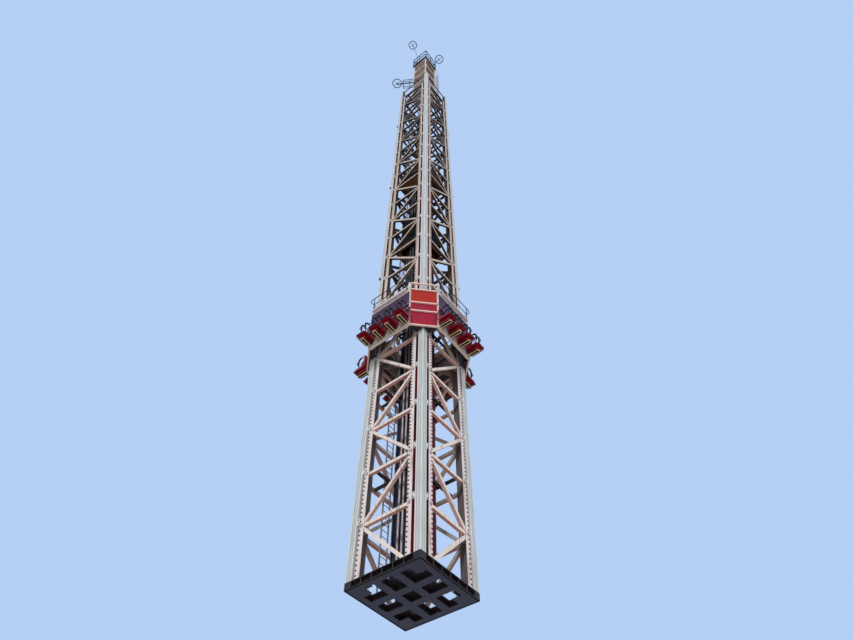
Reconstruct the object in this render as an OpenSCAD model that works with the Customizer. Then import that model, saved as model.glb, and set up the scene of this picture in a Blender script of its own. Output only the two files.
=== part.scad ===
// Drop tower ride, scale model at 1:2, millimetres.
// Origin on the underside of the base frame, under the centre of the mast. +Z is up.
// The corner front_left is at -X -Y, front_right at +X -Y, back_left at -X +Y.

/* [Mast] */
// Height of one lattice panel
panel_h = 1225; // [1100:5:1300]
// Number of lattice panels in the main mast
panels = 22; // [20:2:24]
// Width of the mast over the outer faces of its guide columns
mast_w = 1700; // [1690:10:1760]
// Side of the square guide columns
column_w = 150; // [130:5:160]
// Wall of the guide columns
column_wall = 8; // [5:1:12]
// Rise of the guide columns above the top panel
column_rise = 1225; // [800:5:1400]
// Side of the bars that tie the tops of the guide columns
tie_w = 40; // [30:2:60]
// Drop of these bars below the tops of the columns
tie_drop = 75; // [50:5:150]
// Gap between a guide column and the web of its leg
leg_gap = 70; // [55:5:90]
// Width of the leg flanges in the mast faces
flange_w = 115; // [90:5:130]
// Plate thickness of the legs
leg_t = 12; // [8:1:16]
// Side of the square lattice struts
strut_w = 70; // [50:2:80]
// Gap between a strut end and the web of the leg
strut_end_gap = 13; // [8:1:20]
// Height of the brackets that tie a column to its leg
bracket_h = 140; // [100:5:150]
// Rise of these brackets above the levels of the lattice
bracket_rise = 130; // [90:5:150]
// Plate thickness of the column brackets
bracket_t = 10; // [6:1:14]

/* [Base] */
// Height of the base beams
base_h = 150; // [120:5:180]
// Width of the base beams
base_beam_w = 150; // [120:5:180]
// Flange thickness of the base beams
base_flange_t = 15; // [10:1:20]
// Web thickness of the base beams
base_web_t = 12; // [8:1:16]
// Side of the square plate that the drive cylinders stand on
base_plate_w = 920; // [880:10:930]
// Side of the square plates under the corners
foot_w = 350; // [340:5:375]

/* [Drive] */
// Diameter of the drive cylinders
cylinder_d = 260; // [220:5:280]
// Wall of the drive cylinders
cylinder_wall = 12; // [8:1:20]
// Distance between neighbouring drive cylinders
cylinder_pitch = 430; // [400:5:460]
// Diameter of the cylinders' joint flanges
cylinder_flange_d = 330; // [300:5:350]
// Thickness of the cylinders' joint flanges
cylinder_flange_t = 40; // [30:2:60]
// Panels between two joint flanges
flange_every = 3; // [2:1:4]
// Side of the bars that brace the cylinders
brace_w = 40; // [30:2:50]
// Clearance between a brace and what it holds
brace_gap = 0.3; // [0.2:0.1:0.8]
// Diameter of the air pipes
air_pipe_d = 50; // [40:2:60]
// Panels below the housing's floor
housing_panels = 13.5; // [13.3:0.1:13.7]
// Width of the sheave housing
housing_w = 1200; // [1100:10:1220]
// Height of the sheave housing
housing_h = 900; // [800:10:1000]
// Diameter of the vent stacks
stack_d = 85; // [60:5:100]
// Height of the vent stacks
stack_h = 2900; // [2000:10:3000]

/* [Ladder] */
// Distance between the ladder rails
ladder_w = 230; // [200:5:260]
// Distance between the rungs
rung_pitch = 150; // [125:5:175]
// Diameter of the rungs
rung_d = 16; // [12:1:20]
// Side of the ladder rails
ladder_rail_w = 24; // [20:1:28]
// Gap between the top mast and the rails of the ladder on its side
ladder_gap = 70; // [65:5:90]
// Rise of that ladder above the platform
ladder_rise = 500; // [400:10:560]
// Reach of the hoops round that ladder
cage_reach = 380; // [340:10:400]
// Width of the hoops
cage_w = 400; // [360:10:420]
// Distance between the hoops
hoop_pitch = 650; // [500:10:800]
// Height of the hoops
hoop_h = 24; // [20:1:30]
// Thickness of the hoops
hoop_t = 10; // [8:1:12]

/* [Top] */
// Width of the top mast
top_w = 845; // [800:5:880]
// Side of the top mast's legs
top_leg_w = 50; // [40:2:60]
// Side of the top mast's struts
top_strut_w = 36; // [28:2:40]
// Height of the top mast
top_h = 6255; // [5800:5:6400]
// Number of panels in the top mast
top_panels = 5; // [4:1:6]
// Height of the cap frame's beams
cap_h = 80; // [60:5:100]
// Width of the cap frame's beams
cap_w = 100; // [80:5:120]
// Width of the top platform
deck_w = 960; // [920:5:1000]
// Thickness of the top platform
deck_t = 30; // [20:2:40]
// Height of the top railing
top_rail_h = 1440; // [1200:10:1500]
// Side of the railing bars
rail_w = 24; // [18:1:30]

/* [Antennas] */
// Diameter of the antenna rings
ring_d = 500; // [440:10:540]
// Diameter of the antenna tube
ring_tube_d = 26; // [20:1:32]
// Distance of the left antenna below the platform
left_drop = 3020; // [2900:10:3100]
// Height of the right antenna above the platform
right_rise = 1280; // [1200:10:1360]
// Height of the highest antenna above the platform
high_rise = 2580; // [2400:10:2700]

/* [Carriage] */
// Height of the carriage's underside above the base, at rest
car_z = 6215; // [5500:5:6400]
// Distance between the mast's face and the outer face of a side frame
car_gap = 320; // [310:5:335]
// Clearance between a column's corner and the face of the corner frame
corner_gap = 76; // [74:1:80]
// Height of the side and corner frames
frame_h = 1575; // [1540:5:1600]
// Side of the corner posts
post_w = 60; // [50:2:66]
// Rise of the corner posts above the frames
post_rise = 275; // [250:5:300]
// Height of the bottom beam
beam_h = 125; // [100:5:140]
// Height of the frame's other bars
bar_h = 40; // [30:2:50]
// Depth of the corner frames' bars
bar_d = 40; // [30:2:42]
// Height of the corner frame's lower bar
low_bar_z = 593; // [560:1:620]
// Height of the corner frame's upper bar
high_bar_z = 954; // [930:1:980]
// Thickness of the corner panels
panel_t = 10; // [6:1:14]
// Height of the fascia's lower edge
fascia_z = 775; // [770:5:800]
// Thickness of the fascia
fascia_t = 12; // [8:1:14]
// Drop of the walkway's underside below the top of the frames
walk_drop = 100; // [90:5:115]
// Thickness of the walkway
walk_t = 20; // [14:1:24]
// Reach of the walkway beyond the side frame
walk_out = 80; // [60:5:100]
// Reach of the walkway inside the side frame
walk_in = 230; // [180:5:240]
// Height of the handrail above the walkway's underside
handrail_h = 625; // [550:5:650]
// Side of the handrail's bars
handrail_w = 22; // [18:1:26]
// Reach of the top rail beyond the end of the side frame
handrail_out = 70; // [40:5:80]

/* [Guides] */
// Diameter of the guide wheels
wheel_d = 120; // [100:5:130]
// Width of the guide wheels
wheel_w = 50; // [40:2:54]
// Running gap between a guide wheel and its column
wheel_gap = 0.5; // [0.3:0.1:0.9]
// Diameter of the wheel axles
axle_d = 20; // [16:1:24]
// Running gap between an axle and its wheel
axle_gap = 0.3; // [0.1:0.1:0.6]
// Clearance between a guide bracket and the column
guide_gap = 15; // [10:1:20]
// Side gap between a guide wheel and its ears
ear_gap = 2; // [1:0.5:4]
// Plate thickness of the guide brackets
guide_t = 20; // [16:1:24]
// Thickness of the ears that hold an axle
ear_t = 10; // [8:1:12]

/* [Seats] */
// Number of seats on one side
seats = 4; // [3:1:4]
// Distance between neighbouring seats
seat_pitch = 387; // [378:1:390]
// Width of a seat shell
seat_w = 250; // [236:2:256]
// Height of the seat pan's upper face
pan_z = 200; // [190:5:220]
// Length of the seat pan
pan_l = 400; // [380:5:420]
// Thickness of the seat shell
shell_t = 28; // [22:1:32]
// Height of the seat back's top
back_z = 615; // [600:5:620]
// Thickness of the seat's side wings
wing_t = 14; // [10:1:16]
// Width of the side tubes
tube_w = 20; // [16:1:24]
// Gap between a side tube and the seat shell
tube_gap = 0.5; // [0.3:0.1:1]
// Drop of the side tubes' upper end below the top of the seat back
tube_drop = 155; // [130:5:180]
// Thickness of the gussets
gusset_t = 12; // [8:1:16]

/* [Harness] */
// Distance of the hinge line from the side frame
hinge_u = 67; // [64:1:72]
// Height of the hinge line above the carriage's underside
hinge_z = 645; // [640:1:648]
// Diameter of the hinge pins
pin_d = 16; // [12:1:18]
// Running gap round a hinge pin
pin_gap = 0.3; // [0.1:0.1:0.6]
// Diameter of the hinge barrels
barrel_d = 34; // [30:1:38]
// Length of a hinge barrel
barrel_l = 180; // [170:2:190]
// Gap between a barrel and the ears beside it
barrel_gap = 5; // [5:0.5:7]
// Width of the harness tubes
harness_w = 26; // [22:1:30]
// Distance between the two shoulder tubes
harness_span = 124; // [110:2:136]
// Drop of the harness's lower end below the hinge line
lap_drop = 325; // [310:5:335]

/* [Lights] */
// Width of the warning lights
light_w = 50; // [40:2:54]
// Reach of the warning lights from the column
light_out = 35; // [25:1:38]
// Height of the warning lights
light_h = 90; // [70:5:110]

/* [Hidden] */
$fn = 32;
half = mast_w / 2;
column_c = half - column_w / 2;
web_x = half - column_w - leg_gap;
flange_x = web_x - flange_w;
strut_y = half - leg_t;
strut_x = web_x - leg_t - strut_end_gap;
leg_top = panels * panel_h + strut_w / 2;
column_top = panels * panel_h + column_rise;
cap_top = leg_top + cap_h;
deck_z = cap_top + top_h;
inner_y = strut_y - strut_w;
housing_z = housing_panels * panel_h;
cyl_r = cylinder_d / 2;
cyl_x = cylinder_pitch / 2;
brace_x = cyl_x + cyl_r + brace_gap;
diag = sqrt(2);
car_r = half + car_gap;
side_r = mast_w + diag * corner_gap - car_r;
side_l = 2 * side_r;
post_h = frame_h + post_rise;
walk_z = frame_h - walk_drop;
handrail_z = walk_z + handrail_h;
corners = [[-1, -1], [1, -1], [-1, 1], [1, 1]];
sides = [0, 90, 180, 270];
light_levels = [8.1, 13.3, 18.7];
wheel_x = half + wheel_gap + wheel_d / 2;
wheel_y = half - column_w + ear_t + wheel_w / 2;
wheel_z = guide_t + wheel_d / 2 + ear_t;

function level(k) = k * panel_h;
function arc(cx, cy, r, a0, a1, n) =
    [for (i = [0:n]) [cx + r * cos(a0 + (a1 - a0) * i / n), cy + r * sin(a0 + (a1 - a0) * i / n)]];

// Places a shape drawn for the corner at +X +Y at the corner with the given signs
module at_corner(c) {
    mirror([c[0] < 0 ? 1 : 0, 0, 0]) mirror([0, c[1] < 0 ? 1 : 0, 0]) children();
}

// Turns a profile drawn as [outward, up] into a bar along X, with outward as -Y
module along_x(l) {
    mirror([0, 1, 0]) rotate([90, 0, 90]) linear_extrude(l, center = true) children();
}

// Flat bar between two points in a plane, longer than the two points by its width
module bar_2d(a, b, w) {
    translate(a) rotate(atan2(b[1] - a[1], b[0] - a[0])) translate([-w, -w / 2])
        square([norm(b - a) + 2 * w, w]);
}

// Box between two opposite corners
module box(a, b) {
    translate(a) cube(b - a);
}

// Rolled beam along X, its underside at z = 0
module i_beam(l) {
    along_x(l) union() {
        translate([-base_beam_w / 2, 0]) square([base_beam_w, base_flange_t]);
        translate([-base_beam_w / 2, base_h - base_flange_t]) square([base_beam_w, base_flange_t]);
        translate([-base_web_t / 2, 0]) square([base_web_t, base_h]);
    }
}

module base_frame() color("dimgray") {
    centre = half - base_beam_w / 2;
    for (a = sides) rotate(a) translate([0, -centre, 0]) i_beam(2 * (half - base_beam_w));
    for (a = [0, 90], s = [-1, 1]) rotate(a) translate([0, s * cyl_x, 0])
        i_beam(2 * half - base_beam_w);
    translate([-base_plate_w / 2, -base_plate_w / 2, base_h - base_flange_t])
        cube([base_plate_w, base_plate_w, base_flange_t]);
    for (c = corners) at_corner(c) {
        box([half - foot_w, half - foot_w, 0], [half, half, base_flange_t]);
        box([half - foot_w, half - foot_w, base_h - base_flange_t], [half, half, base_h]);
        box([half - base_beam_w, half - base_beam_w, 0], [half, half, base_h]);
    }
}

// Leg of one corner: two flanges in the mast's faces, joined by webs round the guide column
module leg_2d() {
    polygon([[flange_x, half], [web_x, half], [web_x, web_x], [half, web_x], [half, flange_x],
             [strut_y, flange_x], [strut_y, web_x - leg_t], [web_x - leg_t, web_x - leg_t],
             [web_x - leg_t, strut_y], [flange_x, strut_y]]);
}

module corner_legs() color("mistyrose") {
    for (c = corners) at_corner(c)
        translate([0, 0, base_h]) linear_extrude(leg_top - base_h) leg_2d();
}

// Channel that ties a guide column to the web of its leg
module column_bracket() {
    translate([web_x + leg_gap / 2, 0, 0]) mirror([0, 1, 0]) along_x(leg_gap)
        polygon([[half - column_w, -bracket_h / 2], [strut_y, -bracket_h / 2],
                 [strut_y, bracket_h / 2], [half - column_w, bracket_h / 2],
                 [half - column_w, bracket_h / 2 - bracket_t],
                 [strut_y - bracket_t, bracket_h / 2 - bracket_t],
                 [strut_y - bracket_t, bracket_t - bracket_h / 2],
                 [half - column_w, bracket_t - bracket_h / 2]]);
}

module guide_column() {
    inner = column_w - 2 * column_wall;
    translate([column_c, column_c, base_h]) linear_extrude(column_top - base_h) difference() {
        square(column_w, center = true);
        square(inner, center = true);
    }
    for (k = [1:panels - 1]) translate([0, 0, level(k) + bracket_rise]) {
        column_bracket();
        mirror([1, -1, 0]) column_bracket();
    }
}

module guide_columns() color("gainsboro") {
    for (c = corners) at_corner(c) guide_column();
}

// Bars between the tops of the guide columns
module column_ties() color("dimgray") {
    for (a = sides) rotate(a)
        translate([0, -column_c, column_top - tie_drop]) cube([2 * half - 2 * column_w, tie_w, tie_w],
                                                             center = true);
}

// Horizontals and zigzag diagonals of one mast face. The diagonals meet at the left end
// on levels of the given parity.
module lattice_2d(parity) {
    intersection() {
        translate([-strut_x, base_h]) square([2 * strut_x, leg_top - base_h]);
        union() {
            for (k = [1:panels]) bar_2d([-strut_x, level(k)], [strut_x, level(k)], strut_w);
            for (k = [0:panels - 1]) {
                s = (k + parity) % 2 == 0 ? -1 : 1;
                bar_2d([s * strut_x, level(k)], [-s * strut_x, level(k + 1)], strut_w);
            }
        }
    }
}

module mast_face(a, parity) color("mistyrose") {
    rotate(a) translate([0, -inner_y, 0]) rotate([90, 0, 0]) linear_extrude(strut_w)
        lattice_2d(parity);
}

module drive_cylinders() color("midnightblue") {
    for (c = corners) translate([c[0] * cyl_x, c[1] * cyl_x, 0]) difference() {
        union() {
            translate([0, 0, base_h]) cylinder(d = cylinder_d, h = housing_z - base_h);
            translate([0, 0, base_h]) cylinder(d = cylinder_flange_d, h = cylinder_flange_t);
            for (k = [flange_every:flange_every:floor(housing_panels) - 1])
                translate([0, 0, level(k) + panel_h / 2])
                    cylinder(d = cylinder_flange_d, h = cylinder_flange_t);
        }
        translate([0, 0, base_h - 1])
            cylinder(d = cylinder_d - 2 * cylinder_wall, h = housing_z - base_h + 2);
    }
}

// Crossed bars at a level of the lattice, close round the four cylinders
module cylinder_braces() color("dimgray") {
    for (k = [2:2:floor(housing_panels)]) translate([0, 0, level(k)])
        for (a = [0, 90], s = [-1, 1]) rotate(a)
            translate([s * (brace_x + brace_w / 2), 0, 0])
                cube([brace_w, 2 * inner_y, strut_w], center = true);
}

module air_pipes() color("silver") {
    x = brace_x + brace_w + brace_gap + air_pipe_d / 2;
    for (s = [-1, 1], y = [-1, 1]) translate([s * x, y * air_pipe_d, base_h])
        cylinder(d = air_pipe_d, h = housing_z - strut_w - base_h);
}

// Two beams between the legs and two cross beams that carry the sheave housing
module housing_frame() color("dimgray") {
    reach = web_x - leg_t;
    for (s = [-1, 1]) {
        translate([s * (inner_y - strut_w / 2), 0, housing_z - strut_w / 2])
            cube([strut_w, 2 * reach, strut_w], center = true);
        translate([0, s * (housing_w / 2 - strut_w), housing_z - strut_w / 2])
            cube([2 * inner_y - strut_w, strut_w, strut_w], center = true);
    }
}

module sheave_housing() color("#3a2c2a") {
    rib = 30;
    ribs = 6;
    translate([0, 0, housing_z + housing_h / 2])
        cube([housing_w - rib, housing_w - rib, housing_h], center = true);
    for (i = [0:ribs]) translate([0, 0, housing_z + rib / 2 + i * (housing_h - rib) / ribs])
        cube([housing_w, housing_w, rib], center = true);
}

module vent_stacks() color("#221d22") {
    for (c = corners) translate([c[0] * housing_w * 0.4, c[1] * housing_w * 0.4, 0])
        translate([0, 0, housing_z + housing_h]) {
            cylinder(d = stack_d, h = stack_h);
            cylinder(d = stack_d * 1.6, h = cylinder_flange_t);
        }
}

// Rails and rungs between two heights, with the rungs along X
module rungs(z0, z1) {
    x = (ladder_w - ladder_rail_w) / 2;
    for (s = [-1, 1]) translate([s * x, 0, (z0 + z1) / 2])
        cube([ladder_rail_w, ladder_rail_w, z1 - z0], center = true);
    for (z = [z0 + rung_pitch:rung_pitch:z1 - rung_d])
        translate([-x, 0, z]) rotate([0, 90, 0])
            cylinder(d = rung_d, h = 2 * x, $fn = 6);
}

// Plan of a hoop, drawn outwards along +Y, at a distance inside its outer edge
module hoop_2d(t) {
    w = cage_w / 2 - t;
    c = cage_w * 0.3;
    polygon([[-w, t], [w, t], [w, cage_reach - c], [w - c, cage_reach - t],
             [c - w, cage_reach - t], [-w, cage_reach - c]]);
}

// Ladder on the side of the top mast, with hoops, straps and the arms that hold it
module top_ladder() {
    z0 = cap_top + rung_pitch;
    z1 = deck_z + ladder_rise;
    step = top_h / top_panels;
    reach = ladder_gap + ladder_rail_w / 4;
    rungs(z0, z1);
    for (z = [z0 + rung_pitch * 10:hoop_pitch:z1 - hoop_h])
        translate([0, -ladder_rail_w / 4, z]) linear_extrude(hoop_h) difference() {
            hoop_2d(0);
            hoop_2d(hoop_t);
        }
    for (x = [-1, 0, 1]) translate([x * cage_w * 0.15, cage_reach - hoop_t * 1.4 - ladder_rail_w / 4,
                                    z0 + rung_pitch * 10 - hoop_t])
        cube([hoop_h, hoop_t * 0.8, z1 - z0 - rung_pitch * 11]);
    for (k = [1:top_panels - 1], s = [-1, 1])
        translate([s * (ladder_w - ladder_rail_w) / 2, -reach / 2, cap_top + k * step])
            cube([hoop_t, reach, hoop_h], center = true);
}

module ladder() color("lightgray") {
    translate([0, inner_y - ladder_rail_w / 2, 0]) rungs(base_h, leg_top - strut_w);
    translate([top_w / 2 + ladder_gap + ladder_rail_w / 2, ladder_w / 2 + cage_w / 10 - top_w / 2, 0])
        rotate(-90) top_ladder();
}

module cap_frame() color("lightgray") {
    carrier = (top_w - top_leg_w) / 2;
    for (a = sides) rotate(a) {
        box([column_w - half, -strut_y, leg_top], [half - column_w, cap_w - strut_y, cap_top]);
        box([-strut_y + cap_w / 2, -carrier - cap_w / 2, leg_top],
            [strut_y - cap_w / 2, -carrier + cap_w / 2, cap_top]);
    }
}

// One side of the top mast, from its foot upwards
module top_lattice_2d() {
    w = top_w / 2 - top_leg_w;
    step = top_h / top_panels;
    intersection() {
        translate([-w, 0]) square([2 * w, top_h]);
        union() {
            for (k = [0:top_panels]) {
                z = min(max(k * step, top_strut_w / 2), top_h - top_strut_w / 2);
                bar_2d([-w, z], [w, z], top_strut_w);
            }
            for (k = [0:top_panels - 1]) {
                s = k % 2 == 0 ? -1 : 1;
                bar_2d([s * w, k * step], [-s * w, (k + 1) * step], top_strut_w);
            }
        }
    }
}

module top_mast() color("#9a7f6f") {
    for (c = corners) at_corner(c)
        box([top_w / 2 - top_leg_w, top_w / 2 - top_leg_w, cap_top], [top_w / 2, top_w / 2, deck_z]);
    for (a = sides) rotate(a) translate([0, -(top_w / 2 - top_strut_w), cap_top])
        rotate([90, 0, 0]) linear_extrude(top_strut_w) top_lattice_2d();
}

module top_platform() color("#3c3438") {
    translate([-deck_w / 2, -deck_w / 2, deck_z]) cube([deck_w, deck_w, deck_t]);
}

module top_rails() color("#4a4038") {
    r = deck_w / 2 - rail_w / 2;
    z = deck_z + deck_t;
    for (c = corners) translate([c[0] * r, c[1] * r, z + top_rail_h / 2])
        cube([rail_w, rail_w, top_rail_h], center = true);
    for (a = sides) rotate(a) {
        for (h = [0.5, 1]) translate([0, -r, z + h * top_rail_h - rail_w / 2])
            cube([2 * r, rail_w, rail_w], center = true);
        translate([0, -r, z + top_rail_h / 2]) cube([rail_w, rail_w, top_rail_h], center = true);
    }
}

// Flat ring with crossed spokes and a hub
module antenna_ring() {
    rotate_extrude() translate([ring_d / 2 - ring_tube_d / 2, 0]) circle(d = ring_tube_d);
    for (a = [0, 90]) rotate([0, 90, a])
        cylinder(d = ring_tube_d * 0.7, h = ring_d - ring_tube_d, center = true);
    cylinder(d = ring_tube_d * 2, h = ring_tube_d * 2, center = true);
}

// Square arm between two points
module arm(a, b, w) {
    d = b - a;
    translate(a) rotate([0, acos(d[2] / norm(d)), atan2(d[1], d[0])])
        translate([-w / 2, -w / 2, 0]) cube([w, w, norm(d)]);
}

module antenna_left() color("#4a3a3a") {
    p = [-930, 1180, deck_z - left_drop];
    drop = 230;
    w = ring_tube_d * 0.8;
    q = [-top_w / 2 - w / 2, top_w / 2 - top_leg_w / 2, p[2]];
    translate(p) antenna_ring();
    box([p[0] - w / 2, p[1] - w / 2, p[2] - drop - w], [p[0] + w / 2, p[1] + w / 2, p[2]]);
    for (z = [70, 150, drop]) arm([p[0], p[1], p[2] - z], [q[0], q[1], q[2] - z], w * 0.75);
    box([q[0] - w / 2, q[1] - w, q[2] - drop - w * 2], [q[0] + w / 2, q[1] + w, q[2] - w]);
    m = (p + q * 2) / 3;
    box([m[0] - w / 2, m[1] - w / 2, m[2] - drop - w], [m[0] + w / 2, m[1] + w / 2, m[2] - 30]);
}

module antenna_right() color("#4a3a3a") {
    p = [390, -820, deck_z + right_rise];
    w = ring_tube_d * 0.8;
    y = -deck_w / 2 - w / 2;
    translate(p) antenna_ring();
    box([p[0] - w / 2, p[1] - w / 2, p[2] - 90], [p[0] + w / 2, p[1] + w / 2, p[2]]);
    box([p[0] - w / 2, p[1] - w / 2, p[2] - 90], [p[0] + w / 2, y, p[2] - 90 + w]);
    box([p[0] - w / 2, y - w / 2, deck_z], [p[0] + w / 2, y + w / 2, p[2] - 90 + w]);
}

module antenna_top() color("#4a3a3a") {
    p = [-1010, 146, deck_z + high_rise];
    w = ring_tube_d * 0.8;
    x = -deck_w / 2 - w / 2;
    translate(p) antenna_ring();
    box([x - w / 2, p[1] - w / 2, deck_z], [x + w / 2, p[1] + w / 2, deck_z + top_rail_h]);
    arm([x, p[1], deck_z + top_rail_h - w * 2], p, w * 0.75);
}

module warning_lights() color("gray") {
    for (k = light_levels) {
        box([-half - light_out, half - light_w, level(k)], [-half, half, level(k) + light_h]);
        box([half, -half, level(k)], [half + light_out, light_w - half, level(k) + light_h]);
    }
}

// Plan of a strip beside the chamfer at +X +Y, between two depths behind its face
module chamfer_2d(d0, d1) {
    a = car_r - d0 * diag;
    b = car_r - d1 * diag;
    polygon([[a, side_r], [side_r, a], [side_r, b], [b, side_r]]);
}

module side_frame(a) color("whitesmoke") {
    rotate(a) translate([0, -car_r, car_z]) {
        for (s = [-1, 1]) translate([s * (side_r - post_w / 2), post_w / 2, post_h / 2])
            cube([post_w, post_w, post_h], center = true);
        inner = side_r - post_w;
        box([-inner, 0, 0], [inner, post_w, beam_h]);
        box([-inner, 0, fascia_z - bar_h], [inner, post_w, fascia_z]);
        box([-inner, 0, walk_z - bar_h], [inner, post_w, walk_z]);
    }
}

module corner_frames() color("whitesmoke") {
    for (c = corners) at_corner(c) translate([0, 0, car_z]) {
        for (z = [0, low_bar_z, high_bar_z, frame_h - bar_h, post_h - bar_h])
            translate([0, 0, z]) linear_extrude(bar_h) chamfer_2d(0, bar_d);
    }
}

// Sheet behind the bars of a corner frame, between two heights
module corner_panel(z0, z1) {
    translate([0, 0, car_z + z0]) linear_extrude(z1 - z0) chamfer_2d(bar_d, bar_d + panel_t);
}

module corner_panels_upper() color("#b02a14") {
    for (c = corners) at_corner(c) corner_panel(high_bar_z + bar_h / 2, frame_h - bar_h);
}

module corner_panels_lower() color("#a8123a") {
    for (c = corners) at_corner(c) corner_panel(guide_t, high_bar_z + bar_h / 2);
}

module fascias() color("#4a3450") {
    for (a = sides) rotate(a) translate([0, -car_r, car_z]) along_x(side_l)
        polygon([[0, fascia_z - bar_h], [fascia_t / 2, fascia_z - bar_h],
                 [fascia_t, fascia_z - bar_h + fascia_t], [fascia_t, walk_z], [0, walk_z]]);
}

module walkways() color("lavenderblush") {
    for (a = sides) rotate(a) translate([0, -car_r, car_z + walk_z])
        along_x(side_l - 2 * post_w)
            polygon([[-walk_in, 0], [walk_out, 0], [walk_out, walk_t * 3],
                     [walk_out - walk_t / 2, walk_t * 3], [walk_out - walk_t / 2, walk_t],
                     [-walk_in, walk_t]]);
}

module handrails() color("#2c2c38") {
    inset = handrail_w / 2;
    for (a = sides) rotate(a) translate([0, -car_r, car_z]) {
        x = side_r - post_w - inset;
        y = inset * 2 + walk_t / 2 - walk_out;
        for (s = [-1, 0, 1]) box([s * x - inset, y - inset, walk_z + walk_t],
                                 [s * x + inset, y + inset, handrail_z]);
        for (e = [[x, (walk_z + handrail_z) / 2], [side_r + handrail_out, handrail_z - handrail_w]])
            box([-e[0], y - inset, e[1]], [e[0], y + inset, e[1] + handrail_w]);
    }
}

// Bracket of one guide wheel, for a wheel that runs on the column's +X face: a plate that
// starts behind the corner frame's bar, two ears and the axle between them
module guide_bracket() {
    a = car_r - bar_d * diag;
    near = half + guide_gap;
    end = column_c + ear_t;
    ear_y = wheel_w / 2 + ear_gap + ear_t / 2;
    linear_extrude(guide_t)
        polygon([[a, side_r], [near, side_r], [near, end], [a + side_r - end, end]]);
    for (s = [-1, 1]) translate([wheel_x, wheel_y + s * ear_y, 0])
        box([-wheel_d / 4, -ear_t / 2, guide_t / 2],
            [wheel_d / 4, ear_t / 2, wheel_z + wheel_d / 4]);
    translate([wheel_x, wheel_y, wheel_z]) rotate([90, 0, 0])
        cylinder(d = axle_d, h = 2 * ear_y, center = true);
}

module wheel() {
    translate([wheel_x, wheel_y, wheel_z]) rotate([90, 0, 0]) difference() {
        cylinder(d = wheel_d, h = wheel_w, center = true);
        cylinder(d = axle_d + 2 * axle_gap, h = wheel_w + 2, center = true);
    }
}

module guide_brackets() color("#33333a") {
    for (c = corners, z = [0, frame_h - bar_h]) at_corner(c) translate([0, 0, car_z + z]) {
        guide_bracket();
        mirror([1, -1, 0]) guide_bracket();
    }
}

module guide_wheels() color("black") {
    for (c = corners, z = [0, frame_h - bar_h]) at_corner(c) translate([0, 0, car_z + z]) {
        wheel();
        mirror([1, -1, 0]) wheel();
    }
}

// Side view of the shell: a reclined back and a pan, with round corners
module seat_2d() {
    r = 60;
    lip = shell_t / 2;
    low = pan_z - shell_t;
    polygon(concat([[20, back_z]], [[38, pan_z + r]],
                   arc(38 + r, low + r, r, 180, 270, 6),
                   arc(pan_l - lip, pan_z + 5 - lip, lip, -90, 90, 6),
                   arc(38 + shell_t + r, pan_z + r, r, 270, 180, 6),
                   [[20 + shell_t, back_z]]));
}

// Side view of a wing, which closes the shell beside the sitter's hips
module wing_2d() {
    polygon(concat([[20, back_z - 60], [38, pan_z], [60, pan_z - shell_t / 2],
                    [pan_l - 60, pan_z - shell_t / 2]],
                   arc(pan_l - 80, pan_z + 30, 25, -60, 90, 5),
                   arc(200, pan_z + 175, 120, 270, 180, 6),
                   [[60, back_z - 60]]));
}

// Ear on the seat's back that holds the end of a hinge pin
module hinge_ear_2d() {
    r = pin_d;
    back = 20 + shell_t / 4;
    polygon(concat([[back, back_z - 60], [back, hinge_z]],
                   arc(hinge_u, hinge_z, r, 120, -30, 8), [[48, back_z - 60]]));
}

module seat() {
    ear_x = barrel_l / 2 + barrel_gap;
    along_x(seat_w) seat_2d();
    for (s = [-1, 1]) {
        translate([s * (seat_w - wing_t) / 2, 0, 0]) along_x(wing_t) wing_2d();
        translate([s * (ear_x + ear_t / 2), 0, 0]) along_x(ear_t) hinge_ear_2d();
    }
    translate([0, -hinge_u, hinge_z]) rotate([0, 90, 0])
        cylinder(d = pin_d, h = 2 * (ear_x + ear_t / 2), center = true);
}

// Repeats a piece drawn for one seat along a side of the carriage
module seat_row(a) {
    rotate(a) for (i = [0:seats - 1])
        translate([(i - (seats - 1) / 2) * seat_pitch, -car_r, car_z]) children();
}

module seat_side(a) color("#8e0f24") seat_row(a) seat();

// Side view of a side tube, from behind the back down and forward under the pan
module tube_2d() {
    r = tube_w * 4.5;
    nose = tube_w * 3;
    top = back_z - tube_drop;
    low = pan_z - shell_t - tube_w * 1.2;
    x = pan_l - tube_w * 3.5;
    polygon(concat([[0, top], [0, low + r]], arc(r, low + r, r, 180, 270, 6),
                   arc(x, low + nose, nose, 270, 340, 5),
                   arc(x, low + nose, nose - tube_w, 340, 270, 5),
                   arc(r, low + r, r - tube_w, 270, 180, 6), [[tube_w, top]]));
}

module seat_tubes() color("#e9d9a8") {
    for (a = sides) seat_row(a) for (s = [-1, 1])
        translate([s * ((seat_w + tube_w) / 2 + tube_gap), 0, 0]) along_x(tube_w) tube_2d();
}

// Side view of a gusset between the bottom beam and the seat pan
module gusset_2d() {
    low = pan_z - shell_t;
    polygon([[0, 10], [30, 10], [200, low - 30], [pan_l - 120, low - 18], [pan_l - 120, low],
             [98, low], [0, low - 60]]);
}

// Sloping sheet between the two gussets of a seat, a little inside their lower edges
module gusset_cover_2d() {
    d = [170, pan_z - shell_t - 40];
    translate([30, 10]) rotate(atan2(d[1], d[0])) translate([gusset_t, gusset_t / 4])
        square([norm(d) - 2 * gusset_t, gusset_t * 0.7]);
}

module seat_gussets() color("lightgray") {
    for (a = sides) seat_row(a) {
        for (s = [-1, 1]) translate([s * seat_w * 0.3, 0, 0]) along_x(gusset_t) gusset_2d();
        along_x(seat_w * 0.6) gusset_cover_2d();
    }
}

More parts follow.
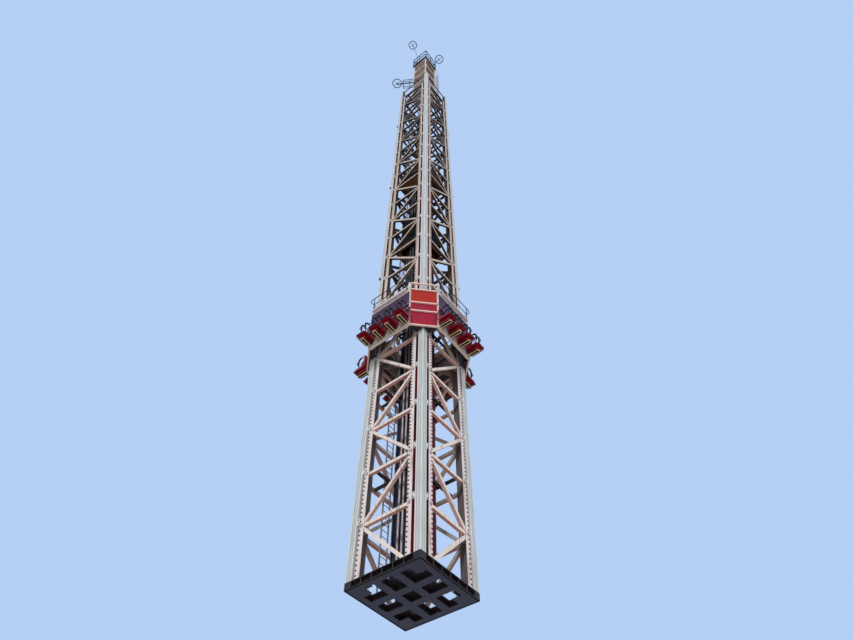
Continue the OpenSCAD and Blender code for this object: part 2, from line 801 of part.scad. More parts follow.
// Side view of a shoulder tube, from the hinge over the shoulder to the lap
module harness_2d() {
    w = harness_w;
    cx = hinge_u + 90;
    cz = hinge_z - 20;
    lap = hinge_z - lap_drop;
    polygon(concat(arc(cx, cz, 90, 165, 90, 5), arc(cx + 60, cz - 20, 110, 90, 0, 7),
                   [[cx + 170, cz - 205], [cx + 120, lap], [cx + 120 - w, lap + 10],
                    [cx + 170 - w, cz - 195]],
                   arc(cx + 60, cz - 20, 110 - w, 0, 90, 7), arc(cx, cz, 90 - w, 90, 165, 5)));
}

module harness() {
    difference() {
        union() {
            translate([0, -hinge_u, hinge_z]) rotate([0, 90, 0])
                cylinder(d = barrel_d, h = barrel_l, center = true);
            for (s = [-1, 1]) translate([s * harness_span / 2, 0, 0])
                along_x(harness_w) harness_2d();
        }
        translate([0, -hinge_u, hinge_z]) rotate([0, 90, 0])
            cylinder(d = pin_d + 2 * pin_gap, h = barrel_l + 2, center = true);
    }
    translate([0, -(hinge_u + 210 - harness_w / 2), hinge_z - lap_drop + 20])
        cube([harness_span, harness_w, harness_w], center = true);
}

module harness_side(a) color("#1d1c22") seat_row(a) harness();

base_frame();
corner_legs();
guide_columns();
column_ties();
mast_face(0, 0);  // face_front
mast_face(90, 1);  // face_right
mast_face(180, 0);  // face_back
mast_face(270, 1);  // face_left
drive_cylinders();
cylinder_braces();
air_pipes();
housing_frame();
sheave_housing();
vent_stacks();
ladder();
cap_frame();
top_mast();
top_platform();
top_rails();
antenna_left();
antenna_right();
antenna_top();
warning_lights();
side_frame(0);  // side_frame_front
side_frame(90);  // side_frame_right
side_frame(180);  // side_frame_back
side_frame(270);  // side_frame_left
corner_frames();
corner_panels_upper();
corner_panels_lower();
fascias();
walkways();
handrails();
guide_brackets();
guide_wheels();
seat_side(0);  // seats_front
seat_side(90);  // seats_right
seat_side(180);  // seats_back
seat_side(270);  // seats_left
seat_tubes();
seat_gussets();
harness_side(0);  // harness_front
harness_side(90);  // harness_right
harness_side(180);  // harness_back
harness_side(270);  // harness_left
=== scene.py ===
"""Looks of the drop tower ride, a scale model at 1:2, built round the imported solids."""
import math

import bmesh
import bpy
from bpy.props import FloatProperty, FloatVectorProperty, IntProperty
from mathutils import Matrix, Vector


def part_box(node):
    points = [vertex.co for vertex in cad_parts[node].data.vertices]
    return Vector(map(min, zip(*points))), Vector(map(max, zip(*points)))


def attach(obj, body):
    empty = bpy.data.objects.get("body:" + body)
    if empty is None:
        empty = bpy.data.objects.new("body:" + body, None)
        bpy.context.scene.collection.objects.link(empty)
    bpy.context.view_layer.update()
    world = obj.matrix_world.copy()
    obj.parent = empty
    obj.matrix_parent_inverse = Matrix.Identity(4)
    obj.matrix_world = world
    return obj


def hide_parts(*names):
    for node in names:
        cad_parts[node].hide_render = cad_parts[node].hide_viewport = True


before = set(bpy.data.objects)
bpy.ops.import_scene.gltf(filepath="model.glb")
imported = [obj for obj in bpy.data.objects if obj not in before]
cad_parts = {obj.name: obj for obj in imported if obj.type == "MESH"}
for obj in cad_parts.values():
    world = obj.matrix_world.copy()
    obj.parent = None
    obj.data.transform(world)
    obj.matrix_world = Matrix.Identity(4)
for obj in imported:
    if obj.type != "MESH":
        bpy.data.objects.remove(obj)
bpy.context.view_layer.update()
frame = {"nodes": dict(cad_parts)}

bl_info = {
    "name": "Drop Tower Ride",
    "version": (1, 0, 0),
    "blender": (4, 5, 0),
    "location": "View3D > Sidebar > Drop Tower",
    "description": "Dresses the solids of a drop tower ride with fittings, pads and paint",
    "category": "Add Mesh",
}

NODES = frame["nodes"]

# Lengths are in metres and repeat the named values of the part's source
MAST_HALF = 0.85
COLUMN = 0.15
COLUMN_AT = 0.775
WEB = 0.63
FLANGE = 0.515
STRUT_FACE = 0.838
STRUT_INNER = 0.768
LEVEL = 1.225
LEVELS = 22
BRACKET_RISE = 0.13
CYLINDER = 0.215
BASE_TOP = 0.15
LEG_TOP = 26.985
CAP_TOP = 27.065
COLUMN_TOP = 28.175
CAR_Z = 6.215
CAR_R = 1.17
SIDE_R = 0.6375
SEAT_PITCH = 0.387
SEATS = 4
HINGE_U, HINGE_V = 0.067, 0.645
DECK_Z = 33.32
TOP_PANEL = (DECK_Z - CAP_TOP) / 5
TOP_POST = 0.372
CORNER_R = 1.27809
RING_R = 0.237
ANTENNAS = (
    (-0.93, 1.18, DECK_Z - 3.02), (0.39, -0.82, DECK_Z + 1.28), (-1.01, 0.146, DECK_Z + 2.58)
)
SIDES = {"front": 0, "right": 90, "back": 180, "left": 270}

# Camera solved from the photo: its place, and the image's lengths in pixels
EYE = (-8.154, -6.692, -6.142)
AHEAD = (0.7859, 0.6184)
IMAGE_W = 853
FOCAL = 640
ZENITH = 472
ROLL = 0.36
SENSOR = 36

QUARTER = math.pi / 2
OUT_FRONT = (QUARTER, 0, 0)
IN_FRONT = (-QUARTER, 0, 0)
UP = (0, 0, 0)
DOWN = (math.pi, 0, 0)
ALONG_X = (0, QUARTER, 0)

# Coat and slot of the pieces that share them
BOLTS = ("bolt_coat", "dark_steel")
DARK = ("dark_coat", "dark_steel")
BROWN = ("housing_coat", "housing_brown")
TOP_DARK = ("antenna_coat", "antenna_dark")
GREY = ("plain_coat", "light_grey")
EDGING = ("edging_coat", "wheel_black")
CRIMSON = ("seat_coat", "seat_crimson")


def hue(code):
    """Linear colour of a six-digit colour code."""
    parts = [int(code[i : i + 2], 16) / 255 for i in (1, 3, 5)]
    return tuple(c / 12.92 if c <= 0.04045 else ((c + 0.055) / 1.055) ** 2.4 for c in parts)


def paint_field(label, code, note):
    """Colour property with its default from a colour code."""
    return FloatVectorProperty(
        name=label, description=note, default=hue(code), subtype="COLOR", min=0, max=1
    )


def length_field(label, default, note):
    """Length property in metres."""
    return FloatProperty(name=label, description=note, default=default, unit="LENGTH")


def count_field(label, default, low, high, note):
    """Whole number property with its limits."""
    return IntProperty(name=label, description=note, default=default, min=low, max=high)


class RideSizes(bpy.types.PropertyGroup):
    bolt_r: length_field("Bolt radius", 0.018, "Radius of the washers on the leg flanges")
    cable_r: length_field("Cable radius", 0.011, "Radius of the electric cables and conduits")
    rail_r: length_field("Handrail radius", 0.011, "Radius of the handrail tubes")
    edging_r: length_field("Edging radius", 0.008, "Radius of the black edging of the seats")
    pad_t: length_field("Pad thickness", 0.03, "Thickness of the seat cushions")
    harness_r: length_field("Harness pad radius", 0.024, "Radius of the pads of the harness")
    flange_bolts: count_field("Leg bolts", 11, 5, 20, "Bolts of a leg flange in each panel")
    cylinder_bolts: count_field("Flange bolts", 12, 6, 24, "Bolts of a cylinder joint")


class RideColours(bpy.types.PropertyGroup):
    column: paint_field("Guide columns", "#E2E8E7", "Pale coat of the guide columns")
    leg: paint_field("Legs", "#F2E7E8", "Pinkish white coat of the corner legs")
    strut: paint_field("Struts", "#F6EBE4", "White coat of the lattice")
    # Painted bounce light: the salmon tint on the undersides of the lower struts
    under: paint_field("Undersides", "#DC8A7C", "Salmon tint below the lower struts")
    aged: paint_field("Aged coat", "#CDBAA6", "Dulled coat of the upper lattice")
    # Soot also serves as painted shade: inner faces, undersides and gaps are darkened with it
    soot_and_shade: paint_field("Soot", "#130E10", "Dark grime inside the mast")
    rust: paint_field("Rust", "#6E3A22", "Rust on steel")
    cylinder: paint_field("Drive cylinders", "#12101F", "Navy coat of the drive cylinders")
    maroon: paint_field("Maroon", "#7C1226", "Dark red coat inside the legs")
    pipe: paint_field("Air pipes", "#A79A9C", "Grey of the air pipes")
    housing: paint_field("Housing", "#5A3B2E", "Brown of the sheave housing")
    top: paint_field("Top mast", "#C6AF9A", "Beige brown of the top mast")
    steel: paint_field("Dark steel", "#2E2A31", "Dark steel of beams and brackets")
    frame: paint_field("Carriage frame", "#E9E6E2", "White coat of the carriage posts")
    bar: paint_field("Corner bars", "#F3D3C8", "Pale salmon coat of the corner bars")
    red: paint_field("Upper panels", "#B0240F", "Orange red of the upper panels")
    crimson: paint_field("Lower panels", "#A30E33", "Crimson of the lower panels")
    purple: paint_field("Fascias", "#4A3452", "Purple of the fascias")
    lip: paint_field("Fascia lip", "#C98BBF", "Pink lip of the fascias")
    walkway: paint_field("Walkways", "#DCCFD4", "Pale coat of the walkways")
    rail: paint_field("Handrails", "#0D0F20", "Dark navy of the handrails")
    seat: paint_field("Seats", "#8A0A22", "Crimson of the seat shells")
    tube: paint_field("Seat tubes", "#E6D6A8", "Cream of the seat tubes")
    harness: paint_field("Harness", "#0F0E12", "Black of the harness pads")
    backdrop: paint_field("Backdrop", "#B5CFF5", "Pale backdrop and floor")


def sizes():
    """The ride's lengths and counts."""
    return bpy.context.scene.ride_sizes


def colour(name):
    """One of the ride's colours, with its alpha."""
    return tuple(getattr(bpy.context.scene.ride_colours, name)) + (1.0,)


def fresh():
    """Leaves edit mode with nothing selected."""
    if bpy.context.object and bpy.context.object.mode != "OBJECT":
        done()
    bpy.ops.object.select_all(action="DESELECT")


def done():
    """Leaves edit mode."""
    bpy.ops.object.mode_set(mode="OBJECT")


def pick(*objects):
    """Selects only these objects and makes the first active."""
    fresh()
    for obj in objects:
        obj.select_set(True)
    bpy.context.view_layer.objects.active = objects[0]


def settle(obj):
    """Puts an object's place, turn and scale into its mesh."""
    pick(obj)
    bpy.ops.object.transform_apply(location=True, rotation=True, scale=True)
    return obj


def block(at, size, turn=(0, 0, 0)):
    """Adds a box at its place."""
    fresh()
    bpy.ops.mesh.primitive_cube_add(size=1, location=at, rotation=turn, scale=size)
    return settle(bpy.context.object)


def rod(at, radius, length, sides=12, turn=(0, 0, 0)):
    """Adds a cylinder at its place, along Z before its turn."""
    fresh()
    bpy.ops.mesh.primitive_cylinder_add(
        vertices=sides, radius=radius, depth=length, location=at, rotation=turn
    )
    return settle(bpy.context.object)


def choose(obj, kind, test):
    """Enters edit mode and selects the faces, edges or vertices that pass the test."""
    pick(obj)
    bpy.ops.object.mode_set(mode="EDIT")
    bpy.ops.mesh.select_mode(type=kind)
    bpy.ops.mesh.select_all(action="DESELECT")
    mesh = bmesh.from_edit_mesh(obj.data)
    for item in {"VERT": mesh.verts, "EDGE": mesh.edges, "FACE": mesh.faces}[kind]:
        if test(item):
            item.select_set(True)
    mesh.select_flush_mode()
    bmesh.update_edit_mesh(obj.data)


def facing(axis, sign=1):
    """Test for the faces that look along an axis, or with sign 0 both ways."""

    def test(face):
        part = getattr(face.normal, axis)
        return (part * sign if sign else abs(part)) > 0.9

    return test


def reshaped(obj, test, kind="FACE", rim=0, push=None, by=None, scale=None):
    """Insets, pushes out, moves or scales the chosen part of a piece."""
    choose(obj, kind, test)
    if rim:
        bpy.ops.mesh.inset(thickness=rim)
    if push:
        bpy.ops.mesh.extrude_region_move(TRANSFORM_OT_translate={"value": push})
    if by:
        bpy.ops.transform.translate(value=by)
    if scale:
        bpy.ops.transform.resize(value=scale)
    done()
    return obj


def clipped(plate, side, inner, width):
    """Cuts off the two corners of an upright plate on its inner side."""
    choose(plate, "EDGE", lambda edge: all(v.co.x * side < inner for v in edge.verts)
           and abs(edge.verts[0].co.z - edge.verts[1].co.z) < 0.001)
    bpy.ops.mesh.bevel(offset=width, affect="EDGES")
    done()
    return plate


def modified(obj, kind, **settings):
    """Adds a modifier with its settings and applies it."""
    pick(obj)
    modifier = obj.modifiers.new(kind, kind)
    for key, value in settings.items():
        setattr(modifier, key, value)
    bpy.ops.object.modifier_apply(modifier=modifier.name)
    return obj


def rounded(obj, width, segments=1):
    """Bevels the sharp edges of a piece."""
    return modified(
        obj, "BEVEL", width=width, segments=segments, limit_method="ANGLE", angle_limit=0.6
    )


def row(obj, *runs):
    """Repeats a piece in rows, each given as a count and its step along X, Y and Z."""
    for count, *step in runs:
        modified(obj, "ARRAY", use_relative_offset=False, use_constant_offset=True,
                 constant_offset_displace=step, count=count)
    return obj


def mirrored(obj, both=False):
    """Mirrors a piece over the mast's middle plane, or over both, and keeps each half."""
    return modified(obj, "MIRROR", use_axis=(True, both, False), use_mirror_merge=False)


def copied(obj, turn=0, by=(0, 0, 0), name=None):
    """Copy of a piece with its own mesh, turned about the mast's axis or moved."""
    pick(obj)
    bpy.ops.object.duplicate()
    copy = bpy.context.object
    copy.rotation_euler[2] = math.radians(turn)
    copy.location = Vector(by)
    if name:
        copy.name = name
    return settle(copy)


def joined(name, *objects):
    """Joins pieces into one."""
    pick(*objects)
    if len(objects) > 1:
        bpy.ops.object.join()
    obj = bpy.context.object
    obj.name = name
    return obj


def four(name, *parts):
    """The parts and their three copies at the other sides, as one piece."""
    piece = joined(name, *parts)
    return joined(name, piece, *[copied(piece, angle) for angle in (90, 180, 270)])


def quarters(name, *parts):
    """The parts and their mirror images in the other quarters, as one piece."""
    return mirrored(joined(name, *parts), both=True)


def tube(points, radius, sides=8, closed=False):
    """Round tube along a line of points, as a closed mesh."""
    fresh()
    bpy.ops.curve.primitive_nurbs_path_add()
    curve = bpy.context.object.data
    curve.splines.clear()
    line = curve.splines.new("POLY")
    line.points.add(len(points) - 1)
    for point, place in zip(line.points, points):
        point.co = (*place, 1)
    line.use_cyclic_u = closed
    curve.dimensions = "3D"
    curve.bevel_depth = radius
    curve.bevel_resolution = max(0, sides // 2 - 2)
    curve.use_fill_caps = not closed
    pick(bpy.context.object)
    bpy.ops.object.convert(target="MESH")
    return settle(bpy.context.object)


def bend(points, radius, steps):
    """Rounds the inner corners of a line of points."""
    line = [Vector(p) for p in points]
    out = [line[0]]
    for before, corner, after in zip(line, line[1:], line[2:]):
        a = (before - corner).normalized()
        b = (after - corner).normalized()
        reach = min(radius, (before - corner).length * 0.49, (after - corner).length * 0.49)
        start, end = corner + a * reach, corner + b * reach
        for i in range(steps + 1):
            t = i / steps
            out.append(start * (1 - t) ** 2 + corner * 2 * t * (1 - t) + end * t * t)
    out.append(line[-1])
    return out


def polar(x, y, radius, angle):
    """Point of a circle in a plane."""
    return x + radius * math.cos(angle), y + radius * math.sin(angle)


def smooth(obj):
    """Shades a piece smooth, except at its sharp edges."""
    pick(obj)
    bpy.ops.object.shade_smooth_by_angle(angle=math.radians(35))
    return obj


def outward(obj):
    """Turns a piece's faces outwards."""
    choose(obj, "FACE", lambda face: True)
    bpy.ops.mesh.normals_make_consistent(inside=False)
    done()
    return obj


def fit(obj, body, coat, slot, replaces=()):
    """Gives a finished piece its coat and the body that it moves with."""
    obj.data.materials.clear()
    obj.data.materials.append(COATS[coat])
    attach(obj, body)
    if replaces:
        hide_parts(*replaces)
    return obj


def add_node(tree, kind, *values, **settings):
    """Adds a shader node and sets or links its first inputs."""
    node = tree.nodes.new(kind)
    for key, value in settings.items():
        setattr(node, key, value)
    for socket, value in zip(node.inputs, values):
        feed(tree, socket, value)
    return node


def feed(tree, socket, value):
    """Links a socket, or sets it where the value isn't another node's output."""
    if isinstance(value, bpy.types.NodeSocket):
        tree.links.new(value, socket)
    else:
        socket.default_value = value


COATS = {}


class Coat:
    """Node tree of one paint, built up in layers over a base colour."""

    def __init__(self, name, base, rough, metal=0.0, shine=0.3):
        self.material = bpy.data.materials.new(name)
        self.material.use_nodes = True
        self.tree = self.material.node_tree
        self.shader = self.tree.nodes["Principled BSDF"]
        self.shader.inputs["Metallic"].default_value = metal
        self.shader.inputs["Specular IOR Level"].default_value = shine
        self.rough = rough
        self.coords = self.add("ShaderNodeTexCoord").outputs["Object"]
        self.normal = self.add("ShaderNodeNewGeometry").outputs["Normal"]
        self.colour = self.add("ShaderNodeRGB").outputs[0]
        self.colour.default_value = colour(base)
        COATS[name] = self.material

    def add(self, kind, *values, **settings):
        return add_node(self.tree, kind, *values, **settings)

    def maths(self, operation, *values, clamp=False):
        node = self.add("ShaderNodeMath", *values, operation=operation, use_clamp=clamp)
        return node.outputs[0]

    def times(self, first, *others):
        """Product of outputs and numbers."""
        for other in others:
            first = self.maths("MULTIPLY", first, other)
        return first

    def dot(self, a, b):
        return self.add("ShaderNodeVectorMath", a, b, operation="DOT_PRODUCT").outputs["Value"]

    def noise(self, scale, detail=4, stretch=(1, 1, 1), rough=0.55):
        mapping = self.add("ShaderNodeMapping", self.coords)
        mapping.inputs["Scale"].default_value = stretch
        node = self.add("ShaderNodeTexNoise", mapping.outputs[0])
        node.inputs["Scale"].default_value = scale
        node.inputs["Detail"].default_value = detail
        node.inputs["Roughness"].default_value = rough
        return node.outputs[0]

    def ramp(self, value, low, high, top=1.0):
        """Smooth step from 0 at the low value to the top at the high value."""
        return self.add(
            "ShaderNodeMapRange", value, low, high, 0.0, top, interpolation_type="SMOOTHSTEP"
        ).outputs[0]

    def mix(self, factor, tint):
        """Lays a tint over the coat."""
        node = self.add("ShaderNodeMix", data_type="RGBA")
        feed(self.tree, node.inputs["Factor"], factor)
        feed(self.tree, node.inputs["A"], self.colour)
        node.inputs["B"].default_value = colour(tint) if isinstance(tint, str) else (*tint, 1)
        self.colour = node.outputs["Result"]
        return self

    def part(self, vector, axis):
        return self.add("ShaderNodeSeparateXYZ", vector).outputs["XYZ".index(axis)]

    def height(self):
        return self.part(self.coords, "Z")

    def offsets(self):
        """Distances from the mast's two middle planes."""
        return [self.maths("ABSOLUTE", self.part(self.coords, axis)) for axis in "XY"]

    def facing(self, axis, gain):
        """How far the surface faces along an axis of the object."""
        return self.maths("MULTIPLY", self.part(self.normal, axis), gain, clamp=True)

    def facing_in(self):
        """How far the surface faces the mast's axis."""
        flat = self.add("ShaderNodeVectorMath", self.coords, (-1, -1, 0), operation="MULTIPLY")
        unit = self.add("ShaderNodeVectorMath", flat.outputs[0], operation="NORMALIZE")
        return self.maths("MULTIPLY", self.dot(unit.outputs[0], self.normal), 1.6, clamp=True)

    def inside(self, amount, tint):
        """Tints what faces the mast's axis."""
        return self.mix(self.times(self.facing_in(), amount), tint)

    def below(self, amount, tint):
        """Tints what faces down."""
        return self.mix(self.times(self.facing("Z", -1), amount), tint)

    def above(self, low, high, amount, tint):
        """Tints what stands between two heights more and more, and all that is higher."""
        return self.mix(self.ramp(self.height(), low, high, amount), tint)

    def mottle(self, amount, scale):
        """Slow light and dark changes over the coat."""
        return self.mix(self.ramp(self.noise(scale, 6), 0.42, 0.75, amount), (0.02, 0.018, 0.016))

    def streaks(self, tint, amount, width, low=0.52, high=0.72):
        """Runs of dirt down the surface."""
        runs = self.noise(width, 5, (1, 1, 0.045))
        patch = self.ramp(self.noise(1.3, 3), 0.35, 0.6)
        return self.mix(self.times(self.ramp(runs, low, high, amount), patch), tint)

    def rusted(self, amount, low, high, scale):
        """Patches of rust with ragged edges."""
        return self.mix(self.ramp(self.noise(scale, 12, rough=0.7), low, high, amount), "rust")

    def worn(self, tint, amount, radius=0.006):
        """Chips and wear along the edges."""
        bevel = self.add("ShaderNodeBevel", radius, samples=4)
        along = self.dot(bevel.outputs[0], self.normal)
        edge = self.ramp(self.maths("SUBTRACT", 1.0, along), 0.02, 0.2)
        chips = self.ramp(self.noise(26, 8, rough=0.7), 0.46, 0.58, amount)
        return self.mix(self.times(edge, chips), tint)

    def speckle(self, tint, amount, scale, low=0.6, high=0.7):
        """Fine spots."""
        return self.mix(self.ramp(self.noise(scale, 4), low, high, amount), tint)

    def finish(self, bump, grain, depth=0.002):
        """Roughness and bump from fine noise, then the links to the shader."""
        fine = self.noise(grain, 6)
        low, high = max(0.05, self.rough - 0.12), min(1.0, self.rough + 0.12)
        rough = self.add("ShaderNodeMapRange", fine, 0.0, 1.0, low, high)
        lift = self.add("ShaderNodeBump", bump, depth)
        feed(self.tree, lift.inputs["Height"], fine)
        feed(self.tree, self.shader.inputs["Roughness"], rough.outputs[0])
        feed(self.tree, self.shader.inputs["Normal"], lift.outputs[0])
        feed(self.tree, self.shader.inputs["Base Color"], self.colour)


def mix_mast_coats():
    """Makes the coats of the mast."""
    coat = Coat("column_coat", "column", 0.38)
    off = coat.maths("SUBTRACT", coat.maths("MINIMUM", *coat.offsets()), COLUMN_AT)
    off = coat.maths("ABSOLUTE", off)
    track = coat.maths("SUBTRACT", 1.0, coat.ramp(off, 0.020, 0.030))
    coat.mix(coat.times(track, 0.35), (0.36, 0.42, 0.46))
    # Painted groove shade: thin dark lines beside the wheel tracks
    groove_shade = coat.maths("ABSOLUTE", coat.maths("SUBTRACT", off, 0.034))
    groove_shade = coat.maths("SUBTRACT", 0.7, coat.ramp(groove_shade, 0.003, 0.009, 0.7))
    coat.mix(groove_shade, (0.10, 0.11, 0.16))
    upper = coat.ramp(coat.height(), 6.5, 9.0, 0.9)
    # Inner faces above the carriage turn rust and maroon: partly real rust, partly painted shade
    coat.inside(upper, "rust").inside(coat.times(upper, 0.6), "maroon")
    # Painted shade on the inner faces, deeper higher up
    coat.inside(coat.ramp(coat.height(), 12, 24, 0.75), "soot_and_shade")
    coat.streaks((0.18, 0.15, 0.13), 0.4, 30).mottle(0.12, 1.1)
    coat.rusted(0.5, 0.67, 0.72, 5).worn("rust", 0.5, 0.008).finish(0.12, 40)

    coat = Coat("leg_coat", "leg", 0.5).above(6.5, 12.0, 0.75, "aged")
    offsets = coat.offsets()
    deep = coat.times(coat.maths("GREATER_THAN", coat.maths("MINIMUM", *offsets), 0.6285),
                      coat.maths("LESS_THAN", coat.maths("MAXIMUM", *offsets), 0.8465))
    # Webs in the gap between leg and column: maroon paint with patches of painted shade; inner
    # faces get painted shade too
    gap_shade_patches = coat.ramp(coat.noise(2.2, 5, (1, 1, 0.3)), 0.48, 0.6, 0.85)
    coat.mix(deep, "maroon").mix(coat.times(deep, gap_shade_patches), "soot_and_shade").inside(0.82, "soot_and_shade")
    coat.streaks("rust", 0.6, 26, 0.5, 0.66).mottle(0.1, 2.0)
    coat.rusted(0.6, 0.62, 0.7, 6).worn("rust", 0.7).finish(0.2, 60)

    coat = Coat("strut_coat", "strut", 0.5)
    high = coat.ramp(coat.height(), 6.5, 10.5)
    coat.mix(coat.times(high, 0.85), "aged")
    # Painted bounce light: salmon on the undersides of the lower struts
    coat.below(coat.times(coat.maths("SUBTRACT", 1.0, high), 0.75), "under")
    # Painted shade on the undersides of the upper struts
    coat.mix(coat.times(coat.facing("Z", -1.5), high, 0.95), "soot_and_shade")
    # Painted shade on the inner faces
    coat.inside(coat.maths("ADD", coat.times(high, 0.62), 0.35), "soot_and_shade")
    coat.above(15, 23, 0.6, "soot_and_shade").streaks("rust", 0.6, 20, 0.52, 0.66)
    coat.mottle(0.1, 2.4).rusted(0.7, 0.6, 0.68, 5).worn("rust", 0.8).finish(0.2, 60)

    for name, base, rough, metal, shine, rusted, edge, wear in (
        ("dark_coat", "steel", 0.5, 0.2, 0.3, 0.6, "aged", 0.5),
        ("housing_coat", "housing", 0.6, 0.1, 0.3, 0.6, "aged", 0.5),
        ("antenna_coat", "rail", 0.6, 0.0, 0.1, 0.25, "rust", 0.2),
    ):
        coat = Coat(name, base, rough, metal, shine)
        if name == "housing_coat":
            # Painted bounce light: lighter warm brown on the undersides of the housing
            coat.below(0.8, (0.28, 0.11, 0.045))
        coat.mottle(0.3, 3).streaks("rust", rusted, 24).rusted(rusted, 0.56, 0.68, 8)
        coat.worn(edge, wear).finish(0.2, 60)

    coat = Coat("cylinder_coat", "cylinder", 0.34, 0.1)
    aside = coat.maths("SUBTRACT", coat.part(coat.coords, "X"), coat.part(coat.coords, "Y"))
    coat.mix(coat.ramp(aside, 0.1, 0.5, 0.85), "maroon").above(7.0, 10.0, 0.7, "soot_and_shade")
    coat.streaks("pipe", 0.2, 30).mottle(0.25, 2).rusted(0.4, 0.62, 0.7, 6).finish(0.12, 50)

    coat = Coat("pipe_coat", "pipe", 0.4, 0.3).above(6.5, 9.0, 0.75, "soot_and_shade").mottle(0.2, 3)
    coat.streaks("soot_and_shade", 0.5, 30).rusted(0.4, 0.6, 0.7, 9).finish(0.15, 80)

    coat = Coat("shroud_coat", "soot_and_shade", 0.6, shine=0.1).mix(0.7, (0.003, 0.002, 0.003))
    coat.mix(coat.ramp(coat.noise(18, 3, (1, 1, 0.06)), 0.55, 0.7, 0.12), "housing")
    coat.rusted(0.35, 0.62, 0.72, 8).worn("rust", 0.3, 0.004).finish(0.15, 60)

    coat = Coat("top_coat", "top", 0.55)
    panel = coat.maths("DIVIDE", coat.maths("SUBTRACT", coat.height(), CAP_TOP), TOP_PANEL)
    apart = coat.maths("ABSOLUTE", coat.maths("SUBTRACT", coat.maths("FRACT", panel), 0.5))
    band = coat.ramp(apart, 0.3, 0.38, 0.8)
    post = coat.maths("GREATER_THAN", coat.maths("MINIMUM", *coat.offsets()), TOP_POST)
    coat.mix(coat.maths("SUBTRACT", 0.8, band), "housing").mix(coat.times(band, 0.7), "strut")
    # White corner posts, and the faces looking along -X made lighter as painted light
    coat.mix(coat.times(post, 0.8), "strut").mix(coat.times(coat.facing("X", -1), 0.25), "strut")
    # Painted shade on the inner faces
    coat.inside(0.6, "soot_and_shade").mottle(0.2, 2.5).streaks("rust", 0.6, 24)
    coat.rusted(0.7, 0.55, 0.66, 6).worn("rust", 0.9).finish(0.2, 60)

    coat = Coat("plain_coat", "pipe", 0.5).mottle(0.25, 3).streaks("rust", 0.6, 26)
    coat.rusted(0.6, 0.58, 0.68, 8).worn("rust", 0.8).finish(0.2, 70)

    coat = Coat("bolt_coat", "steel", 0.45, 0.5).mottle(0.4, 20)
    coat.rusted(0.7, 0.5, 0.62, 18).finish(0.25, 150)

    coat = Coat("lamp_coat", "red", 0.12).mottle(0.2, 30)
    coat.shader.inputs["Transmission Weight"].default_value = 0.35
    coat.finish(0.1, 60)


def mix_carriage_coats():
    """Makes the coats of the carriage and the harnesses."""
    # Painted bounce light: salmon on the undersides; painted shade: dark steel on the inner faces
    coat = Coat("frame_coat", "frame", 0.42).below(0.55, "bar").inside(0.45, "steel")
    coat.mottle(0.15, 3).streaks("soot_and_shade", 0.4, 28).rusted(0.6, 0.63, 0.7, 9)
    coat.worn("rust", 0.8).finish(0.15, 80)

    # Painted shade: dark steel on the inner faces
    coat = Coat("bar_coat", "bar", 0.42).inside(0.7, "steel").mottle(0.12, 4)
    coat.streaks("soot_and_shade", 0.3, 30).rusted(0.5, 0.64, 0.7, 9).worn("rust", 0.7).finish(0.15, 80)

    for base in ("red", "crimson"):
        coat = Coat(base + "_coat", base, 0.42, shine=0.12).mottle(0.16, 2.0)
        # Painted shade: near black navy on the inner faces
        coat.inside(0.93, (0.008, 0.008, 0.03)).streaks((0.05, 0.012, 0.012), 0.45, 34)
        coat.speckle((0.40, 0.06, 0.05), 0.25, 60).worn("bar", 0.5, 0.004).finish(0.10, 30)

    coat = Coat("fascia_coat", "purple", 0.45, shine=0.15)
    # Bands by height: the pink lip, painted shade below it behind the seats, and the white top
    # band
    for test, rise, tint in (
        ("LESS_THAN", 0.882, "lip"), ("LESS_THAN", 0.856, "soot_and_shade"), ("GREATER_THAN", 1.39, "frame")
    ):
        coat.mix(coat.maths(test, coat.height(), CAR_Z + rise), tint)
    coat.inside(0.35, "pipe").mottle(0.2, 2.5).streaks((0.02, 0.015, 0.03), 0.45, 30)
    coat.speckle("pipe", 0.07, 70).worn("pipe", 0.4, 0.004).finish(0.12, 40)

    coat = Coat("walkway_coat", "walkway", 0.55).mottle(0.2, 5).streaks("soot_and_shade", 0.3, 30)
    coat.speckle("soot_and_shade", 0.4, 120).worn("rust", 0.6).finish(0.3, 110)

    coat = Coat("rail_coat", "rail", 0.35, 0.2).mottle(0.2, 5).speckle("pipe", 0.2, 80)
    coat.worn("pipe", 0.7, 0.003).finish(0.15, 90)

    coat = Coat("rubber_coat", "harness", 0.75).mottle(0.2, 9)
    coat.speckle("pipe", 0.12, 60, 0.55, 0.7).finish(0.35, 160)

    coat = Coat("seat_coat", "seat", 0.3, shine=0.25).mottle(0.25, 6)
    coat.speckle((0.25, 0.02, 0.03), 0.4, 40).worn("bar", 0.35, 0.004).finish(0.08, 26)

    coat = Coat("cushion_coat", "harness", 0.6).mottle(0.2, 12)
    coat.speckle("pipe", 0.06, 140, 0.5, 0.75).finish(0.5, 320, depth=0.0015)

    coat = Coat("edging_coat", "harness", 0.5).mottle(0.2, 9)
    coat.speckle("pipe", 0.2, 60, 0.58, 0.72).finish(0.2, 120)

    # Painted shade: dark purple brown on the inner side of the back walls
    coat = Coat("wall_coat", "pipe", 0.5).mix(0.45, "frame").inside(0.9, (0.022, 0.010, 0.016))
    coat.mottle(0.2, 3).streaks("soot_and_shade", 0.5, 26).speckle("rust", 0.3, 50)
    coat.worn("rust", 0.6, 0.004).finish(0.15, 70)

    coat = Coat("tube_coat", "tube", 0.35).mottle(0.2, 8).streaks("rust", 0.5, 40)
    coat.worn("rust", 0.7, 0.004).finish(0.12, 90)

    coat = Coat("gusset_coat", "pipe", 0.5).mix(0.45, "frame").mottle(0.2, 8)
    coat.rusted(0.5, 0.62, 0.7, 14).worn("rust", 0.8, 0.004).finish(0.2, 90)


